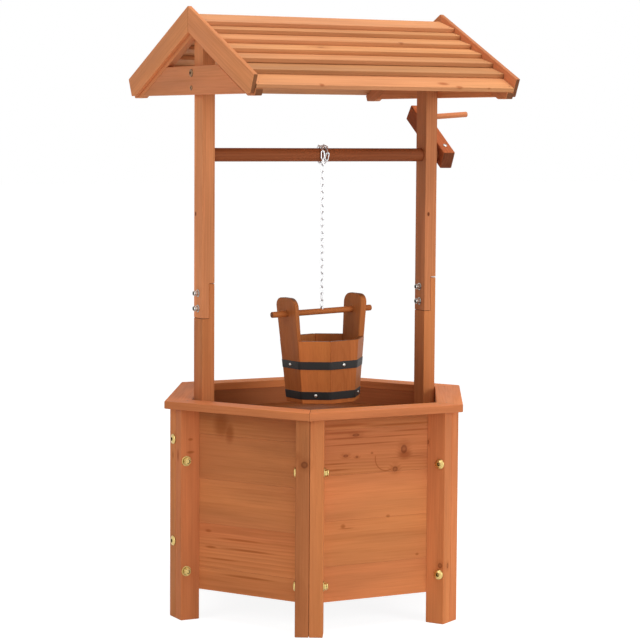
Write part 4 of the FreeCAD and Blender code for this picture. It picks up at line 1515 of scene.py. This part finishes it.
class WELL_OT_bucket(bpy.types.Operator):
    """Make the bucket's staves, its two handles and its rod"""

    bl_idname = "well.bucket"
    bl_label = "Bucket"

    def execute(self, context):
        corner = context.scene.well_bucket.handle_corner
        chance = random.Random(97)
        staves = []
        for i in range(STAVES):
            if i % (STAVES // 2) == 0:
                continue
            piece = stave(context, RIM_LOW)
            ease(piece, 0.0016, 3)
            figure = chance.uniform(0.1, 0.45)
            mark_grain(piece, Z, Y, chance, figure, STAVE_SHADES.get(i, 1.0))
            piece.data.transform(hung() @ stave_turn(i))
            staves.append(piece)
        present(staves, "bucket_staves", "timber")

        for name, turn in (("right", 0), ("left", math.pi)):
            piece = stave(context, HANDLE_HIGH)
            crown = HANDLE_HIGH - 0.001
            pick_edges(piece, lambda a, b: min(a.z, b.z) > crown and abs(a.y - b.y) < 0.005)
            bpy.ops.mesh.bevel(offset=corner, segments=8, affect="EDGES")
            close_edit()
            ease(piece, 0.0018, 3)
            carve(piece, bar(ROD_RADIUS + ROD_PLAY, (0.02, 0, 0), (0.12, 0, 0), 40))
            # Painted shade: the handles' inner faces are drawn darker
            mark_grain(piece, Z, Y, chance, 0.4, 1.0, (-X, 0.85))
            piece.data.transform(hung() @ Matrix.Rotation(turn, 4, "Z"))
            present([piece], f"bucket_handle_{name}", "timber")

        rod = bar(ROD_RADIUS, (-ROD_END, 0, 0), (ROD_END, 0, 0), 40)
        ease(rod, 0.0010, 3)
        mark_grain(rod, X, Y, chance, 0.3)
        rod.data.transform(hung())
        present([rod], "bucket_rod", "timber")
        keep_node("bucket_bottom", "bucket_floor_timber")
        return {"FINISHED"}


class WELL_OT_hoops(bpy.types.Operator):
    """Make the bucket's two black hoops and their rivets"""

    bl_idname = "well.hoops"
    bl_label = "Hoops and rivets"

    def execute(self, context):
        thickness = context.scene.well_bucket.hoop_thickness
        present([self.hoop(height, thickness) for height in HOOP_HEIGHTS], "bucket_hoops", "steel")

        # The staves are riveted to the upper and the lower hoop by turns.
        tilt = math.atan(FLARE)
        way = Vector((math.cos(tilt), 0, -math.sin(tilt)))
        stands = []
        for i in range(STAVES):
            height = FLOOR_LOW + HOOP_HEIGHTS[(i + 1) % 2] + HOOP_WIDTH / 2
            seat = (wall_apothem(height) + thickness / math.cos(tilt), 0, height)
            stands.append(hung() @ stave_turn(i) @ facing(seat, way))
        rivet = fastener(0.0032, 0.0018, 0.0015, 0.009)
        present(copied(rivet, stands), "hoop_rivets", "steel")
        return {"FINISHED"}

    def hoop(self, height, thickness):
        """An octagon's side walls, flared as the bucket is, its corners bent round."""
        low = FLOOR_LOW + height
        high = low + HOOP_WIDTH
        middle = (low + high) / 2
        deselect()
        bpy.ops.mesh.primitive_cylinder_add(
            vertices=STAVES, radius=wall_apothem(low) / math.cos(HALF_STAVE), depth=HOOP_WIDTH,
            location=(0, 0, middle), rotation=(0, 0, HALF_STAVE), end_fill_type="NOTHING",
        )
        hoop = set_in_place()
        pick_points(hoop, lambda co: co.z > middle)
        spread = wall_apothem(high) / wall_apothem(low)
        bpy.ops.transform.resize(value=(spread, spread, 1), center_override=(0, 0, high))
        close_edit()
        pick_edges(hoop, lambda a, b: abs(a.z - b.z) > HOOP_WIDTH / 2)
        bpy.ops.mesh.bevel(offset=0.0045, segments=4, affect="EDGES")
        close_edit()
        apply_modifier(hoop, "SOLIDIFY", thickness=thickness, offset=1)
        ease(hoop, 0.0003)
        hoop.data.transform(hung())
        return hoop


# Stage

# Where the camera stands, and its heading, its dip and its roll in degrees
CAMERA_PLACE = (-1.99767, -3.80789, 0.91638)
CAMERA_TURN = (-27.75, 4.85, 0.382)


def area_light(name, power, size, place):
    """A square light that faces the middle of the well."""
    light = bpy.data.lights.new(name, "AREA")
    light.energy = power
    light.shape = "SQUARE"
    light.size = size
    lamp = bpy.data.objects.new(name, light)
    bpy.context.collection.objects.link(lamp)
    lamp.location = place
    aim = Vector((0, 0, 0.6)) - Vector(place)
    lamp.rotation_euler = aim.to_track_quat("-Z", "Y").to_euler()


def seen_rays(nodes):
    """1 for rays that show the background: from the camera, in a reflection or through glass."""
    path = nodes.add("LightPath").outputs
    seen = nodes.most(path["Is Camera Ray"], path["Is Glossy Ray"])
    return nodes.most(seen, path["Is Transmission Ray"])


class WELL_OT_stage(bpy.types.Operator):
    """Make the white floor, the surroundings, the lights and the camera"""

    bl_idname = "well.stage"
    bl_label = "Stage"

    def execute(self, context):
        settings = context.scene.well_stage
        deselect()
        bpy.ops.mesh.primitive_plane_add(size=60, location=(0, 0, -0.0005))
        floor = set_in_place()
        floor.name = "studio_floor"
        material = bpy.data.materials.new("studio_white")
        material.use_nodes = True
        material.node_tree.nodes.clear()
        nodes = Nodes(material.node_tree)
        share = nodes.times(seen_rays(nodes), 0.6)
        matt = nodes.add("BsdfDiffuse", Color=(0.9, 0.9, 0.9, 1)).outputs[0]
        glow = nodes.add("Emission", Color=(1, 1, 1, 1), Strength=1.5).outputs[0]
        surface = nodes.add("MixShader", _0=share, _1=matt, _2=glow).outputs[0]
        nodes.add("OutputMaterial", Surface=surface)
        floor.data.materials.append(material)

        world = bpy.data.worlds.new("studio")
        world.use_nodes = True
        context.scene.world = world
        nodes = Nodes(world.node_tree)
        strength = nodes.eased(seen_rays(nodes), 0.0, 1.0, settings.ambient, 1.0)
        background = world.node_tree.nodes["Background"].inputs
        nodes.lead((1, 1, 1, 1), background["Color"])
        nodes.lead(strength, background["Strength"])

        area_light("key_light", settings.key_power, 1.6, (1.45, -3.6, 1.4))
        area_light("top_light", settings.top_power, 2.2, (0.4, -0.8, 3.6))
        area_light("left_light", settings.left_power, 2.0, (-3.6, -1.0, 2.2))
        area_light("fill_light", settings.fill_power, 1.6, (-1.8, -3.4, 1.4))

        heading, dip, roll = (math.radians(angle) for angle in CAMERA_TURN)
        right = Vector((math.cos(heading), math.sin(heading), 0))
        level = (-math.sin(heading) * math.cos(dip), math.cos(heading) * math.cos(dip))
        ahead = Vector((*level, -math.sin(dip)))
        above = right.cross(ahead)
        across = right * math.cos(roll) + above * math.sin(roll)
        upward = above * math.cos(roll) - right * math.sin(roll)
        turn = Matrix((across, upward, -ahead)).transposed().to_4x4()
        camera = bpy.data.cameras.new("studio_camera")
        camera.lens = settings.focal_length
        camera.sensor_width = 36
        eye = bpy.data.objects.new("studio_camera", camera)
        context.collection.objects.link(eye)
        eye.matrix_world = Matrix.Translation(CAMERA_PLACE) @ turn
        context.scene.camera = eye
        context.scene.view_settings.view_transform = "Standard"
        return {"FINISHED"}


class WELL_PT_panel(bpy.types.Panel):
    """The well's settings and the pieces that can be made again"""

    bl_idname = "WELL_PT_panel"
    bl_label = "Wishing Well Planter"
    bl_space_type = "VIEW_3D"
    bl_region_type = "UI"
    bl_category = "Wishing Well"

    def draw(self, context):
        for group, _ in SETTINGS:
            settings = getattr(context.scene, group)
            section = self.layout.box()
            section.label(text=group.replace("_", " ").capitalize())
            for name in settings.__annotations__:
                section.prop(settings, name)
        for operator in OPERATORS:
            self.layout.operator(operator.bl_idname)


SETTINGS = (
    ("well_timber", WellTimber),
    ("well_bucket", WellBucket),
    ("well_metal", WellMetal),
    ("well_stage", WellStage),
)
OPERATORS = (
    WELL_OT_rim,
    WELL_OT_walls,
    WELL_OT_legs,
    WELL_OT_floor,
    WELL_OT_planter_bolts,
    WELL_OT_uprights,
    WELL_OT_lap_bolts,
    WELL_OT_gables,
    WELL_OT_slats,
    WELL_OT_roof_screws,
    WELL_OT_nails,
    WELL_OT_windlass,
    WELL_OT_chain,
    WELL_OT_bucket,
    WELL_OT_hoops,
    WELL_OT_stage,
)


def register():
    for name, group in SETTINGS:
        bpy.utils.register_class(group)
        setattr(bpy.types.Scene, name, PointerProperty(type=group))
    for operator in OPERATORS:
        bpy.utils.register_class(operator)
    bpy.utils.register_class(WELL_PT_panel)


def unregister():
    bpy.utils.unregister_class(WELL_PT_panel)
    for operator in reversed(OPERATORS):
        bpy.utils.unregister_class(operator)
    for name, group in reversed(SETTINGS):
        delattr(bpy.types.Scene, name)
        bpy.utils.unregister_class(group)


def main():
    register()
    for operator in OPERATORS:
        group, name = operator.bl_idname.split(".")
        getattr(getattr(bpy.ops, group), name)()
    deselect()


if __name__ == "__main__":
    main()
